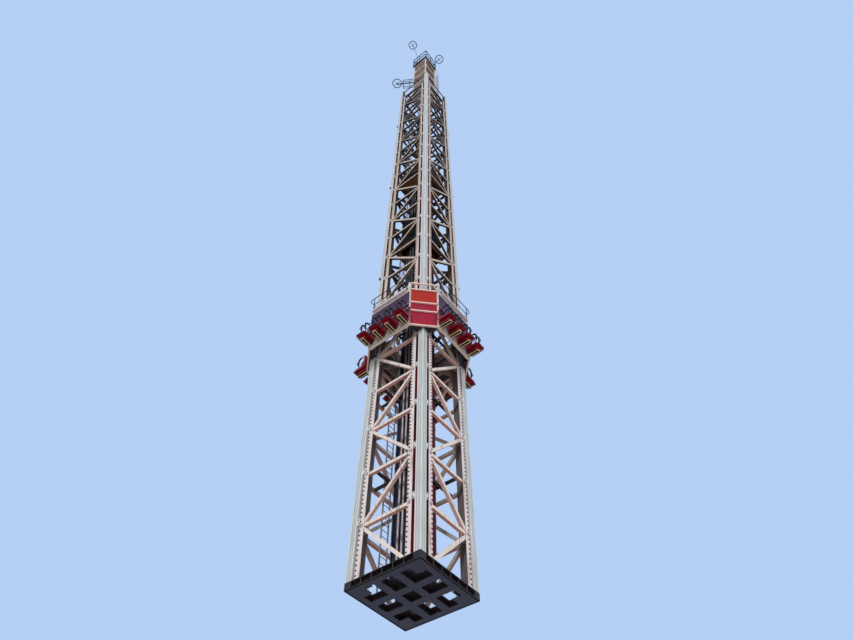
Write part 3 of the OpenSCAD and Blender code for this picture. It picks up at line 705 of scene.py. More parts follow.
# Nodes of each coat. A star stands for each of the four sides
NODE_COATS = {
    "dark_coat": "base_frame column_ties cylinder_braces housing_frame vent_stacks top_platform "
                 "warning_lights guide_brackets",
    "leg_coat": "corner_legs",
    "column_coat": "guide_columns",
    "strut_coat": "face_*",
    "cylinder_coat": "drive_cylinders",
    "pipe_coat": "air_pipes",
    "housing_coat": "sheave_housing",
    "plain_coat": "ladder cap_frame",
    "top_coat": "top_mast",
    "antenna_coat": "top_rails antenna_left antenna_right antenna_top",
    "frame_coat": "side_frame_*",
    "bar_coat": "corner_frames",
    "red_coat": "corner_panels_upper",
    "crimson_coat": "corner_panels_lower",
    "fascia_coat": "fascias",
    "walkway_coat": "walkways",
    "rail_coat": "handrails",
    "rubber_coat": "guide_wheels harness_*",
    "seat_coat": "seats_*",
    "tube_coat": "seat_tubes",
    "gusset_coat": "seat_gussets",
}


def lay_floor():
    """Adds the floor with a hole below the mast, seen only from above."""
    size = 6000
    fresh()
    bpy.ops.mesh.primitive_plane_add(size=size, location=(0, 0, -0.002))
    floor = settle(bpy.context.object)
    floor.name = "floor"
    choose(floor, "FACE", lambda face: True)
    bpy.ops.mesh.inset(thickness=size / 2 - MAST_HALF + 0.03)
    bpy.ops.mesh.delete(type="FACE")
    done()
    paint = bpy.data.materials.new("floor_paint")
    paint.use_nodes = True
    tree = paint.node_tree
    shader = tree.nodes["Principled BSDF"]
    shader.inputs["Roughness"].default_value = 0.9
    shader.inputs["Specular IOR Level"].default_value = 0.1
    ray = add_node(tree, "ShaderNodeLightPath").outputs
    tint = add_node(tree, "ShaderNodeMix", ray["Is Camera Ray"], data_type="RGBA")
    tint.inputs["A"].default_value = (0.34, 0.32, 0.31, 1)
    tint.inputs["B"].default_value = colour("backdrop")
    feed(tree, shader.inputs["Base Color"], tint.outputs["Result"])
    back = add_node(tree, "ShaderNodeNewGeometry").outputs["Backfacing"]
    hidden = add_node(tree, "ShaderNodeMath", back, ray["Is Shadow Ray"], operation="MAXIMUM")
    clear = add_node(tree, "ShaderNodeBsdfTransparent")
    ends = [node.outputs[0] for node in (hidden, shader, clear)]
    mix = add_node(tree, "ShaderNodeMixShader", *ends)
    feed(tree, tree.nodes["Material Output"].inputs["Surface"], mix.outputs[0])
    floor.data.materials.append(paint)


def light_stage(scene):
    """Adds the backdrop and the lamps."""
    world = bpy.data.worlds.new("studio")
    scene.world = world
    world.use_nodes = True
    tree = world.node_tree
    shown = tree.nodes["Background"]
    shown.inputs["Color"].default_value = colour("backdrop")
    shown.inputs["Strength"].default_value = 1.0
    light = add_node(tree, "ShaderNodeBackground", (1.0, 0.98, 0.96, 1), 0.52)
    ray = add_node(tree, "ShaderNodeLightPath").outputs
    seen = ray["Is Camera Ray"]
    for other in ("Is Glossy Ray", "Is Transmission Ray"):
        seen = add_node(tree, "ShaderNodeMath", seen, ray[other], operation="MAXIMUM").outputs[0]
    mix = add_node(tree, "ShaderNodeMixShader", seen, light.outputs[0], shown.outputs[0])
    feed(tree, tree.nodes["World Output"].inputs["Surface"], mix.outputs[0])

    for name, strength, direction, spread in (
        ("key", 1.5, (0.75, 0.42, -0.62), 12),
        ("fill", 0.5, (0.30, 0.85, -0.25), 40),
        ("lift", 0.6, (0.6, 0.5, 0.75), 70),
    ):
        fresh()
        bpy.ops.object.light_add(type="SUN", location=(-10, -10, 40))
        lamp = bpy.context.object
        lamp.name = name
        lamp.data.energy = strength
        lamp.data.angle = math.radians(spread)
        lamp.rotation_euler = Vector(direction).to_track_quat("-Z", "Y").to_euler()


def place_camera(scene):
    """Adds the camera at the photo's viewpoint."""
    pitch, roll = math.atan2(FOCAL, ZENITH), math.radians(ROLL)
    ahead = Vector((*AHEAD, 0)).normalized()
    aside = Vector((AHEAD[1], -AHEAD[0], 0)).normalized()
    above = Vector((0, 0, 1))
    forward = ahead * math.cos(pitch) + above * math.sin(pitch)
    upward = above * math.cos(pitch) - ahead * math.sin(pitch)
    right = aside * math.cos(roll) + upward * math.sin(roll)
    upward = upward * math.cos(roll) - aside * math.sin(roll)
    bpy.ops.object.camera_add(location=(0, 0, 0))
    camera = bpy.context.object
    camera.name = "camera"
    turn = Matrix((right, upward, -forward)).transposed().to_4x4()
    camera.matrix_world = Matrix.Translation(EYE) @ turn
    camera.data.sensor_width = SENSOR
    camera.data.lens = FOCAL / IMAGE_W * SENSOR
    camera.data.clip_end = 2000
    scene.camera = camera


class RIDE_OT_stage(bpy.types.Operator):
    """Adds the floor, the backdrop, the lamps and the camera"""

    bl_idname = "ride.stage"
    bl_label = "Stage"

    def execute(self, context):
        context.scene.view_settings.view_transform = "Standard"
        lay_floor()
        light_stage(context.scene)
        place_camera(context.scene)
        return {"FINISHED"}


class RIDE_OT_coats(bpy.types.Operator):
    """Mixes the coats and gives each solid its own"""

    bl_idname = "ride.coats"
    bl_label = "Coats"

    def execute(self, context):
        mix_mast_coats()
        mix_carriage_coats()
        for coat, names in NODE_COATS.items():
            for name in names.split():
                for side in SIDES if "*" in name else ("",):
                    materials = NODES[name.replace("*", side)].data.materials
                    materials.clear()
                    materials.append(COATS[coat])
        return {"FINISHED"}


def bolt(at, turn, radius, head=0.009):
    """Hexagon bolt head on a washer, pointing along Z before its turn."""
    obj = rod((0, 0, 0.0018), radius, 0.004, 6)
    reshaped(obj, facing("z"), rim=radius * 0.3, push=(0, 0, head))
    obj.rotation_euler = turn
    obj.location = at
    return settle(obj)


def band(at, radius, height, sides):
    """Round band with softened ends."""
    return reshaped(rod(at, radius, height, sides), facing("z", 0), rim=0.004, scale=(1, 1, 0.7))


class RIDE_OT_leg_bolts(bpy.types.Operator):
    """Adds the rows of bolts on the leg flanges"""

    bl_idname = "ride.leg_bolts"
    bl_label = "Leg bolts"

    def execute(self, context):
        count, radius = sizes().flange_bolts, sizes().bolt_r
        pitch = LEVEL / (count + 1)
        out = MAST_HALF + 0.0002
        far, near = FLANGE + 0.024, WEB - 0.024
        for corner, other, x, y in (
            ("front_left", "back_right", -far, -far),
            ("front_right", "back_left", near, -near),
        ):
            side = -1 if x < 0 else 1
            across = bolt((x, -out, pitch), OUT_FRONT, radius)
            along = bolt((side * out, y, pitch), (QUARTER, 0, side * QUARTER), radius)
            for line in (across, along):
                row(line, (count, 0, 0, pitch), (LEVELS, 0, 0, LEVEL))
            piece = joined("leg_bolts_" + corner, across, along)
            copy = copied(piece, 180, name="leg_bolts_" + other)
            for made in (piece, copy):
                fit(made, "mast", *BOLTS)
        return {"FINISHED"}


class RIDE_OT_node_bolts(bpy.types.Operator):
    """Adds the bolts and gusset plates where the struts meet the legs"""

    bl_idname = "ride.node_bolts"
    bl_label = "Strut joints"

    def execute(self, context):
        cluster = bolt((FLANGE + 0.04, -MAST_HALF, LEVEL - 0.022), OUT_FRONT, 0.012)
        row(cluster, (2, 0.035, 0, 0), (2, 0, 0, 0.044), (LEVELS, 0, 0, LEVEL))
        fit(four("strut_bolts", mirrored(cluster)), "mast", *BOLTS)

        tie = bolt((WEB + 0.022, -STRUT_FACE, LEVEL + BRACKET_RISE - 0.04), OUT_FRONT, 0.01)
        row(tie, (2, 0.027, 0, 0.08), (LEVELS - 1, 0, 0, LEVEL))
        fit(four("bracket_bolts", mirrored(tie)), "mast", *BOLTS)

        parts = []
        for side, start, count in ((-1, 2, LEVELS // 2 - 1), (1, 1, LEVELS // 2)):
            x, z = side * 0.53, start * LEVEL
            plate = block((x, 0.004 - STRUT_INNER, z), (0.15, 0.008, 0.36))
            clipped(plate, side, 0.47, 0.08)
            pin = bolt((x - 0.03, 0.008 - STRUT_INNER, z - 0.11), IN_FRONT, 0.01)
            row(pin, (2, 0.06, 0, 0), (3, 0, 0, 0.11))
            parts.append(row(joined("gusset", plate, pin), (count, 0, 0, 2 * LEVEL)))
        front = joined("gusset_plates", *parts)
        back = copied(front, 180)
        swapped = copied(front)
        swapped.scale[0] = -1
        outward(settle(swapped))
        right = copied(swapped, 90)
        bpy.data.objects.remove(swapped)
        left = copied(right, 180)
        plates = joined("gusset_plates", front, back, right, left)
        fit(plates, "mast", "strut_coat", "strut_white")
        return {"FINISHED"}


class RIDE_OT_base_fittings(bpy.types.Operator):
    """Adds the stiffeners and anchor bolts of the base and the caps of the columns"""

    bl_idname = "ride.base_fittings"
    bl_label = "Base fittings"

    def execute(self, context):
        rib = rounded(block((-0.48, -0.809, 0.075), (0.012, 0.068, 0.12)), 0.004)
        fit(four("base_stiffeners", row(rib, (5, 0.24, 0, 0))), "mast", *DARK)

        washer = rod((0.55, 0.55, 0.0175), 0.026, 0.005, 16)
        nut = bolt((0.55, 0.55, 0.02), UP, 0.02, 0.018)
        stud = rounded(rod((0.55, 0.55, 0.045), 0.009, 0.05, 10), 0.002)
        anchor = row(joined("anchor", washer, nut, stud), (2, 0.1, 0, 0), (2, 0, 0.1, 0))
        fit(quarters("anchor_bolts", anchor), "mast", *BOLTS)

        joint = bolt((0.545, 0.545, BASE_TOP), UP, 0.016)
        row(joint, (2, 0.055, 0, 0), (2, 0, 0.055, 0))
        fit(quarters("base_bolts", joint), "mast", *BOLTS)

        cap = block((COLUMN_AT, COLUMN_AT, COLUMN_TOP + 0.004), (COLUMN, COLUMN, 0.008))
        reshaped(cap, facing("z"), rim=0.05, push=(0, 0, 0.014))
        fit(quarters("column_caps", rounded(cap, 0.003)), "mast", "column_coat", "column_white")
        return {"FINISHED"}


class RIDE_OT_drive(bpy.types.Operator):
    """Adds the bolts and bands of the cylinders, the pipe clamps and the conduits"""

    bl_idname = "ride.drive"
    bl_label = "Drive fittings"

    def execute(self, context):
        count, level = sizes().cylinder_bolts, 3.5 * LEVEL
        bolt_circle, band_r = 0.148, 0.1345
        heads, nuts = [], []
        for i in range(count):
            x, y = polar(CYLINDER, CYLINDER, bolt_circle, 2 * math.pi * i / count)
            heads.append(bolt((x, y, level + 0.04), UP, 0.011))
            nuts.append(bolt((x, y, level), DOWN, 0.011, 0.014))
        ring = joined("ring", *heads)
        foot = copied(ring, by=(0, 0, BASE_TOP - level))
        ring = row(joined("ring", ring, *nuts), (4, 0, 0, 3 * LEVEL))
        fit(quarters("cylinder_bolts", ring, foot), "mast", *BOLTS)

        bands = band((CYLINDER, CYLINDER, 0.3 * LEVEL), band_r, 0.06, 32)
        bands = quarters("cylinder_bands", row(bands, (13, 0, 0, LEVEL)))
        fit(smooth(bands), "mast", "cylinder_coat", "cylinder_navy")

        z = 2 * LEVEL + 0.07
        strap = rounded(block((0.411, 0.05, z), (0.058, 0.09, 0.03)), 0.01, 2)
        pin = bolt((0.44, 0.085, z), ALONG_X, 0.007, 0.006)
        clamps = row(joined("clamps", strap, pin), (6, 0, 0, 2 * LEVEL))
        fit(quarters("pipe_clamps", clamps), "mast", *DARK)

        x, radius = 0.602, sizes().cable_r
        cables = [tube([(x, y, BASE_TOP + 0.01), (x, y, LEG_TOP - 0.02)], radius)
                  for y in (0.44, 0.472, 0.504)]
        fit(smooth(joined("conduits", *cables)), "mast", "rubber_coat", "dark_steel")
        clip = rounded(block((0.605, 0.472, BASE_TOP + 0.4), (0.03, 0.112, 0.016)), 0.005)
        fit(joined("conduit_clips", row(clip, (43, 0, 0, LEVEL / 2))), "mast", *GREY)
        return {"FINISHED"}


class RIDE_OT_housing(bpy.types.Operator):
    """Adds the louvres, bolts and lifting eyes of the sheave housing and the stack caps"""

    bl_idname = "ride.housing"
    bl_label = "Housing fittings"

    def execute(self, context):
        low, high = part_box("sheave_housing")
        face, middle, step = -high.x + 0.015, low.z + 0.0875, 0.145
        slat = block((-0.36, face - 0.003, low.z + 0.046), (0.2, 0.004, 0.02), (0.7, 0, 0))
        row(slat, (5, 0, 0, 0.0195))
        jamb = block((-0.463, face - 0.005, middle), (0.008, 0.012, 0.108))
        row(jamb, (2, 0.206, 0, 0))
        louvre = row(joined("louvre", slat, jamb), (6, 0, 0, step))
        other = copied(louvre, by=(0.72, 0, 0))
        post = rounded(block((-0.12, face - 0.005, middle), (0.03, 0.01, 0.115)), 0.002)
        row(post, (2, 0.24, 0, 0), (6, 0, 0, step))
        pin = bolt((-0.54, -high.x, low.z + 0.015), OUT_FRONT, 0.009, 0.006)
        row(pin, (10, 0.12, 0, 0), (7, 0, 0, step))
        fit(four("housing_louvres", louvre, other, post, pin), "mast", *BROWN)

        arc = [polar(0.3, high.z, 0.03, i * math.pi / 8) for i in range(9)]
        eye = tube([(x, 0.3, z) for x, z in arc], 0.008)
        pad = rounded(block((0.3, 0.3, high.z + 0.005), (0.11, 0.05, 0.01)), 0.003)
        fit(smooth(quarters("lifting_eyes", eye, pad)), "mast", *DARK)

        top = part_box("vent_stacks")[1].z
        cap = rod((0.48, 0.48, top - 0.03), 0.07, 0.05, 24)
        reshaped(cap, facing("z"), rim=0.045, by=(0, 0, 0.02))
        bands = row(band((0.48, 0.48, top - 0.9), 0.047, 0.04, 24), (3, 0, 0, -0.75))
        fit(smooth(quarters("stack_caps", cap, bands)), "mast", *DARK)
        return {"FINISHED"}


class RIDE_OT_shroud(bpy.types.Operator):
    """Adds the dark ribbed shroud round the upper cylinders and its rusty ledges"""

    bl_idname = "ride.shroud"
    bl_label = "Cylinder shroud"

    def execute(self, context):
        half, low, high = 0.446, 11.72, 13.8
        middle, tall = (low + high) / 2, high - low
        sheet = block((0, -half, middle), (2 * half, 0.006, tall))
        rib = block((-half + 0.04, -half - 0.008, middle), (0.03, 0.014, tall - 0.12))
        reshaped(rib, facing("y", -1), scale=(0.5, 1, 1))
        parts = [sheet, row(rib, (12, (2 * half - 0.08) / 11, 0, 0))]
        for z in (low + 0.025, middle, high - 0.025):
            hoop = block((0, -half - 0.011, z), (2 * half + 0.02, 0.022, 0.05))
            parts.append(rounded(hoop, 0.003))
        pin = bolt((-half + 0.07, -half - 0.022, low + 0.025), OUT_FRONT, 0.009, 0.006)
        row(pin, (9, (2 * half - 0.14) / 8, 0, 0), (3, 0, 0, tall / 2 - 0.025))
        fit(four("cylinder_shroud", *parts, pin), "mast", "shroud_coat", "dark_steel")

        ledge = block((0, -0.53, low - 0.008), (1.06, 0.15, 0.012))
        reshaped(ledge, lambda v: v.co.y > -0.5, "VERT", scale=(0.86, 1, 1))
        lip = rounded(block((0, -0.6, low - 0.03), (1.19, 0.01, 0.05)), 0.003)
        fit(four("shroud_ledges", ledge, lip), "mast", *BROWN)
        return {"FINISHED"}


class RIDE_OT_top_fittings(bpy.types.Operator):
    """Adds the boards and rail sleeves of the platform and the plates and slats below it"""

    bl_idname = "ride.top_fittings"
    bl_label = "Top fittings"

    def execute(self, context):
        low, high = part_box("top_platform")
        edge = high.x
        board = block((0, 0.003 - edge, high.z + 0.11), (2 * edge - 0.01, 0.006, 0.22))
        rounded(board, 0.002)
        joist = block((0, -0.2, low.z - 0.014), (0.72, 0.03, 0.028))
        reshaped(joist, facing("z", -1), scale=(1, 0.5, 1))
        slats = rounded(block((-0.44, 0, high.z + 0.006), (0.008, 0.9, 0.012)), 0.002)
        row(slats, (23, 0.04, 0, 0))
        boards = four("deck_boards", board, joist)
        fit(joined("deck_boards", boards, slats), "mast", *DARK)

        rail = edge - 0.012
        parts = []
        for x in (-rail, 0):
            foot = block((x, -rail, high.z + 0.008), (0.06, 0.05, 0.012))
            knob = rod((x, -rail, high.z + 0.72), 0.021, 0.044)
            parts += [rounded(foot, 0.003), rounded(knob, 0.005)]
        for lift in (0.708, 1.428):
            sleeve = rod((0, -rail, high.z + lift), 0.022, 2 * rail - 0.05, turn=ALONG_X)
            parts.append(rounded(sleeve, 0.004))
        fit(smooth(four("rail_joints", *parts)), "mast", *TOP_DARK)

        plates = []
        for side, z in ((-1, CAP_TOP + 0.1), (1, CAP_TOP + TOP_PANEL)):
            x = side * 0.345
            plate = clipped(block((x, -0.4255, z), (0.12, 0.006, 0.2)), side, 0.3, 0.05)
            pin = bolt((x - 0.03, -0.4285, z - 0.06), OUT_FRONT, 0.009)
            row(pin, (2, 0.06, 0, 0), (3, 0, 0, 0.06))
            plates.append(row(joined("plate", plate, pin), (3, 0, 0, 2 * TOP_PANEL)))
        slat = block((0, -0.405, CAP_TOP + 0.16), (0.74, 0.02, 0.07), (0.5, 0, 0))
        row(rounded(slat, 0.003), (20, 0, 0, 0.305))
        plates = joined("plates", *plates, slat)
        for vertex in plates.data.vertices:
            vertex.co.z = min(vertex.co.z, DECK_Z)
        fit(four("mast_plates", plates), "mast", "top_coat", "top_brown")
        return {"FINISHED"}


class RIDE_OT_antennas(bpy.types.Operator):
    """Adds the beads, sleeves and hubs of the ring antennas, the left boom and the boxes"""

    bl_idname = "ride.antennas"
    bl_label = "Antennas"

    def execute(self, context):
        parts = []
        for x, y, z in ANTENNAS:
            for i in range(8):
                a = math.pi / 8 + i * math.pi / 4
                bead = rod((*polar(x, y, RING_R, a), z), 0.0165, 0.03, turn=(QUARTER, 0, a))
                parts.append(rounded(bead, 0.004))
            for i in range(4):
                a = i * QUARTER
                arc = [a + 0.12 + j * (QUARTER - 0.24) / 12 for j in range(13)]
                parts.append(tube([(*polar(x, y, RING_R, b), z) for b in arc], 0.021, 12))
                collar = rod((*polar(x, y, 0.045, a), z), 0.013, 0.03, turn=(0, QUARTER, a))
                parts.append(rounded(collar, 0.003))
            hub = rod((x, y, z + 0.03), 0.02, 0.02, 16)
            parts.append(reshaped(hub, facing("z"), rim=0.008, push=(0, 0, 0.015)))
        fit(smooth(joined("antenna_joints", *parts)), "mast", *TOP_DARK)

        bars = []
        arms = ((-0.43, 0.076), (-0.898, 0.813)), ((-0.252, 0.43), (-0.611, 0.995))
        levels = [ANTENNAS[0][2] - drop for drop in (0.1, 0.42)]
        for z in levels:
            for start, end in arms:
                bars.append(tube([(*start, z), (*end, z)], 0.015, 10))
            for t in (0.5, 0.97):
                ends = [Vector(a).lerp(Vector(b), t) for a, b in arms]
                bars.append(tube([(*end, z) for end in ends], 0.011, 10))
        for start, end in arms:
            for t in (0.5, 0.97):
                place = Vector(start).lerp(Vector(end), t)
                bars.append(tube([(*place, z) for z in levels], 0.011, 10))
            plate = block((*start, sum(levels) / 2), (0.03, 0.03, 0.42))
            bars.append(rounded(plate, 0.004))
        fit(smooth(joined("antenna_boom", *bars)), "mast", *TOP_DARK)

        boxes = []
        for at, size, width, segments in (
            ((-0.47, 0.24, DECK_Z + 0.35), (0.07, 0.14, 0.2), 0.008, 2),
            ((-0.508, 0.24, DECK_Z + 0.35), (0.01, 0.12, 0.18), 0.004, 1),
            ((-0.455, 0.33, DECK_Z - 3.3), (0.065, 0.1, 0.16), 0.008, 2),
        ):
            boxes.append(rounded(block(at, size), width, segments))
        fit(joined("junction_boxes", *boxes), "mast", *GREY)
        return {"FINISHED"}


class RIDE_OT_beacons(bpy.types.Operator):
    """Adds the lenses and rims of the warning lights"""

    bl_idname = "ride.beacons"
    bl_label = "Warning lights"

    def execute(self, context):
        lenses, rims = [], []
        low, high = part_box("warning_lights")
        for level in (8.1, 13.3, 18.7):
            z = level * LEVEL + 0.045
            for side, x in ((-1, low.x), (1, high.x)):
                y = -side * (MAST_HALF - 0.026)
                lens = rod((x + side * 0.003, y, z), 0.017, 0.01, 16, (0, side * QUARTER, 0))
                reshaped(lens, facing("x", side), rim=0.006, by=(side * 0.004, 0, 0))
                lenses.append(lens)
                round_ = [polar(y, z, 0.02, i * math.pi / 8) for i in range(16)]
                rims.append(tube([(x, *point) for point in round_], 0.0035, 6, closed=True))
        fit(smooth(joined("beacon_lenses", *lenses)), "mast", "lamp_coat", "panel_red")
        fit(smooth(joined("beacon_rims", *rims)), "mast", *BOLTS)
        return {"FINISHED"}


def seat_at(x, u, v):
    """Point at a seat: x along the row, u out from the side frame, v up from the underside."""
    return Vector((x, -CAR_R - u, CAR_Z + v))


def seat_tube(points, radius, sides=8):
    """Round tube through points at a seat."""
    return tube([seat_at(*point) for point in points], radius, sides)


def bent_tube(points, corner, steps, radius, sides):
    """Round tube with rounded corners through points at a seat."""
    return tube(bend([seat_at(*point) for point in points], corner, steps), radius, sides)


def along_seats(name, *parts):
    """Repeats the parts of one seat along the front row."""
    piece = joined(name, *parts)
    shifted = copied(piece, by=(-(SEATS - 1) / 2 * SEAT_PITCH, 0, 0), name=name)
    bpy.data.objects.remove(piece)
    return row(shifted, (SEATS, SEAT_PITCH, 0, 0))


def all_seats(name, *parts):
    """Repeats the parts of one seat at every seat."""
    return four(name, along_seats(name, *parts))


def at_corners(name, *parts):
    """Turns parts drawn in front onto the four chamfered corners."""
    piece = joined(name, *parts)
    first = copied(piece, 45, name=name)
    bpy.data.objects.remove(piece)
    return four(name, first)


def bored(at, radius, bore, length, turn, dish=0.0):
    """Round body with a through hole and, with a dish, with sunk faces."""
    body = rod((0, 0, 0), radius, length, 32)
    choose(body, "FACE", facing("z", 0))
    left = radius - bore
    if dish:
        bpy.ops.mesh.inset(thickness=left * 0.25)
        bpy.ops.transform.resize(value=(1, 1, 1 - dish))
        bpy.ops.mesh.inset(thickness=left * 0.35)
        bpy.ops.transform.resize(value=(1, 1, 1 / (1 - dish)))
        bpy.ops.mesh.inset(thickness=left * 0.4)
    else:
        bpy.ops.mesh.inset(thickness=left)
    bpy.ops.mesh.bridge_edge_loops()
    done()
    rounded(body, min(left, length) * 0.12, 2)
    body.rotation_euler = turn
    body.location = at
    return smooth(outward(settle(body)))


class RIDE_OT_corner_fittings(bpy.types.Operator):
    """Adds the rivets, bolts and back channels of the chamfered corners"""

    bl_idname = "ride.corner_fittings"
    bl_label = "Corner fittings"

    def execute(self, context):
        face = 0.0402 - CORNER_R
        rivets = []
        for low, high in ((0.055, 0.578), (0.648, 0.939), (1.009, 1.52)):
            count = round((high - low) / 0.055)
            edge = bolt((-0.322, face, CAR_Z + low), OUT_FRONT, 0.006, 0.003)
            row(edge, (2, 0.644, 0, 0), (count + 1, 0, 0, (high - low) / count))
            line = bolt((-0.276, face, CAR_Z + low), OUT_FRONT, 0.006, 0.003)
            row(line, (13, 0.046, 0, 0), (2, 0, 0, high - low))
            rivets += [edge, line]
        fit(at_corners("corner_rivets", *rivets), "carriage", *BOLTS)

        bolts = []
        for v in (0.02, 0.613, 0.974, 1.555, 1.83):
            pair = bolt((-0.352, -CORNER_R, CAR_Z + v), OUT_FRONT, 0.011)
            bolts.append(row(pair, (2, 0.704, 0, 0)))
        fit(at_corners("bar_bolts", *bolts), "carriage", *BOLTS)

        channel = block((-0.2, 0.06 - CORNER_R, CAR_Z + 0.8), (0.05, 0.02, 1.3))
        reshaped(channel, facing("y"), rim=0.008, push=(0, -0.012, 0))
        row(channel, (2, 0.4, 0, 0))
        fit(at_corners("corner_channels", channel), "carriage", *DARK)
        return {"FINISHED"}


class RIDE_OT_side_fittings(bpy.types.Operator):
    """Adds the bolts and plates of the side frames"""

    bl_idname = "ride.side_fittings"
    bl_label = "Side fittings"

    def execute(self, context):
        pair = bolt(seat_at(-0.1, 0, 0.035), OUT_FRONT, 0.011)
        pair = along_seats("pairs", row(pair, (2, 0.2, 0, 0), (2, 0, 0, 0.05)))
        for vertex in pair.data.vertices:
            vertex.co.x = max(-0.625, min(0.625, vertex.co.x))
        fit(four("beam_bolts", pair), "carriage", *BOLTS)

        plates = []
        for side in (-1, 1):
            for v, tall in ((0.0625, 0.15), (0.755, 0.09), (1.455, 0.09)):
                plate = block(seat_at(side * 0.54, -0.064, v), (0.11, 0.008, tall))
                pin = bolt(seat_at(side * 0.54 - 0.03, -0.068, v), IN_FRONT, 0.009)
                plates += [rounded(plate, 0.003), row(pin, (2, 0.06, 0, 0))]
        fit(four("frame_plates", *plates), "carriage", "frame_coat", "frame_white")
        return {"FINISHED"}


class RIDE_OT_fascia_trim(bpy.types.Operator):
    """Adds the cover strips and rivets of the fascias, which stay bare of words"""

    bl_idname = "ride.fascia_trim"
    bl_label = "Fascia trim"

    def execute(self, context):
        out = 0.012
        seam = rounded(block(seat_at(-0.2125, out + 0.0015, 1.11), (0.034, 0.003, 0.68)), 0.001)
        row(seam, (2, 0.425, 0, 0))
        hem = rounded(block(seat_at(0, out + 0.003, 0.869), (1.27, 0.006, 0.022)), 0.002)
        top = copied(hem, by=(0, 0, 0.53))
        strips = four("fascia_strips", seam, hem, top)
        fit(strips, "carriage", "fascia_coat", "fascia_purple")

        rivet = bolt(seat_at(-0.2235, out + 0.003, 0.8), OUT_FRONT, 0.0045, 0.002)
        row(rivet, (2, 0.022, 0, 0), (2, 0.425, 0, 0), (11, 0, 0, 0.063))
        edge = bolt(seat_at(-0.6, out, 0.795), OUT_FRONT, 0.006, 0.003)
        row(edge, (2, 0, 0, 0.645), (17, 0.075, 0, 0))
        fit(four("fascia_rivets", rivet, edge), "carriage", "bolt_coat", "fascia_purple")
        return {"FINISHED"}


class RIDE_OT_walkway_fittings(bpy.types.Operator):
    """Adds the brackets, ribs and treads of the walkways"""

    bl_idname = "ride.walkway_fittings"
    bl_label = "Walkway fittings"

    def execute(self, context):
        rib = block(seat_at(-0.48, -0.145, 1.462), (0.03, 0.165, 0.026))
        reshaped(rib, facing("z", -1), scale=(0.3, 1, 1))
        row(rib, (9, 0.12, 0, 0))
        knee = block(seat_at(-0.51, 0.043, 1.44), (0.012, 0.062, 0.07))
        reshaped(knee, lambda v: v.co.z < CAR_Z + 1.44 and v.co.y < -CAR_R - 0.043, "VERT",
                 by=(0, 0, 0.055))
        row(knee, (5, 0.255, 0, 0))
        fit(four("walkway_ribs", rib, knee), "carriage", "walkway_coat", "walkway_pink")

        tread = rounded(block(seat_at(-0.56, -0.08, 1.498), (0.006, 0.28, 0.006)), 0.0015)
        fit(four("treads", row(tread, (47, 0.0243, 0, 0))), "carriage", *GREY)
        return {"FINISHED"}


class RIDE_OT_handrails(bpy.types.Operator):
    """Builds the round handrails with bent ends"""

    bl_idname = "ride.handrails"
    bl_label = "Handrails"

    def execute(self, context):
        radius, foot, mid, top, out = sizes().rail_r, 1.495, 1.7985, 2.089, 0.048
        reach, post = SIDE_R + 0.07 - radius, 0.5665
        line = [(-post, mid), (-reach, mid + 0.2), (-reach, top), (reach, top),
                (reach, mid + 0.2), (post, mid)]
        parts = [
            bent_tube([(x, out, v) for x, v in line], 0.06, 8, radius, 12),
            seat_tube([(-post, out, mid), (post, out, mid)], radius * 0.9, 12),
        ]
        for x in (-post, 0, post):
            parts.append(seat_tube([(x, out, foot), (x, out, top)], radius, 12))
            flange = rod(seat_at(x, out, foot + 0.004), 0.026, 0.008, 16)
            sleeve = rod(seat_at(x, out, mid), radius * 1.4, 0.036, 16)
            parts += [rounded(flange, 0.002), rounded(sleeve, 0.004)]
        rails = smooth(four("round_handrails", *parts))
        fit(rails, "carriage", "rail_coat", "rail_dark", ["handrails"])
        return {"FINISHED"}


class RIDE_OT_wheels(bpy.types.Operator):
    """Builds the guide wheels with dished faces, bolts and axle nuts"""

    bl_idname = "ride.wheels"
    bl_label = "Guide wheels"

    def execute(self, context):
        wheels, bolts = [], []
        for x, y, turn, axis in (
            (0.9105, 0.735, OUT_FRONT, Vector((0, 1, 0))),
            (0.735, 0.9105, ALONG_X, Vector((1, 0, 0))),
        ):
            at = Vector((x, y, CAR_Z + 0.09))
            wheels.append(bored(at, 0.06, 0.0103, 0.05, turn, 0.3))
            for sign in (-1, 1):
                out = (axis * sign).to_track_quat("Z", "Y").to_euler()
                bolts.append(bolt(at + axis * sign * 0.037, out, 0.016, 0.008))
                aside = axis.cross(Vector((0, 0, 1)))
                for i in range(5):
                    across, up = polar(0, 0, 0.039, 2 * math.pi * i / 5)
                    spot = at + aside * across + Vector((0, 0, up)) + axis * sign * 0.0205
                    bolts.append(bolt(spot, out, 0.004, 0.002))
        for name, parts, coat, slot, gone in (
            ("ride_wheels", wheels, "rubber_coat", "wheel_black", ["guide_wheels"]),
            ("wheel_bolts", bolts, *BOLTS, ()),
        ):
            piece = row(joined(name, *parts), (2, 0, 0, 1.535))
            fit(outward(quarters(name, piece)), "carriage", coat, slot, gone)
        return {"FINISHED"}


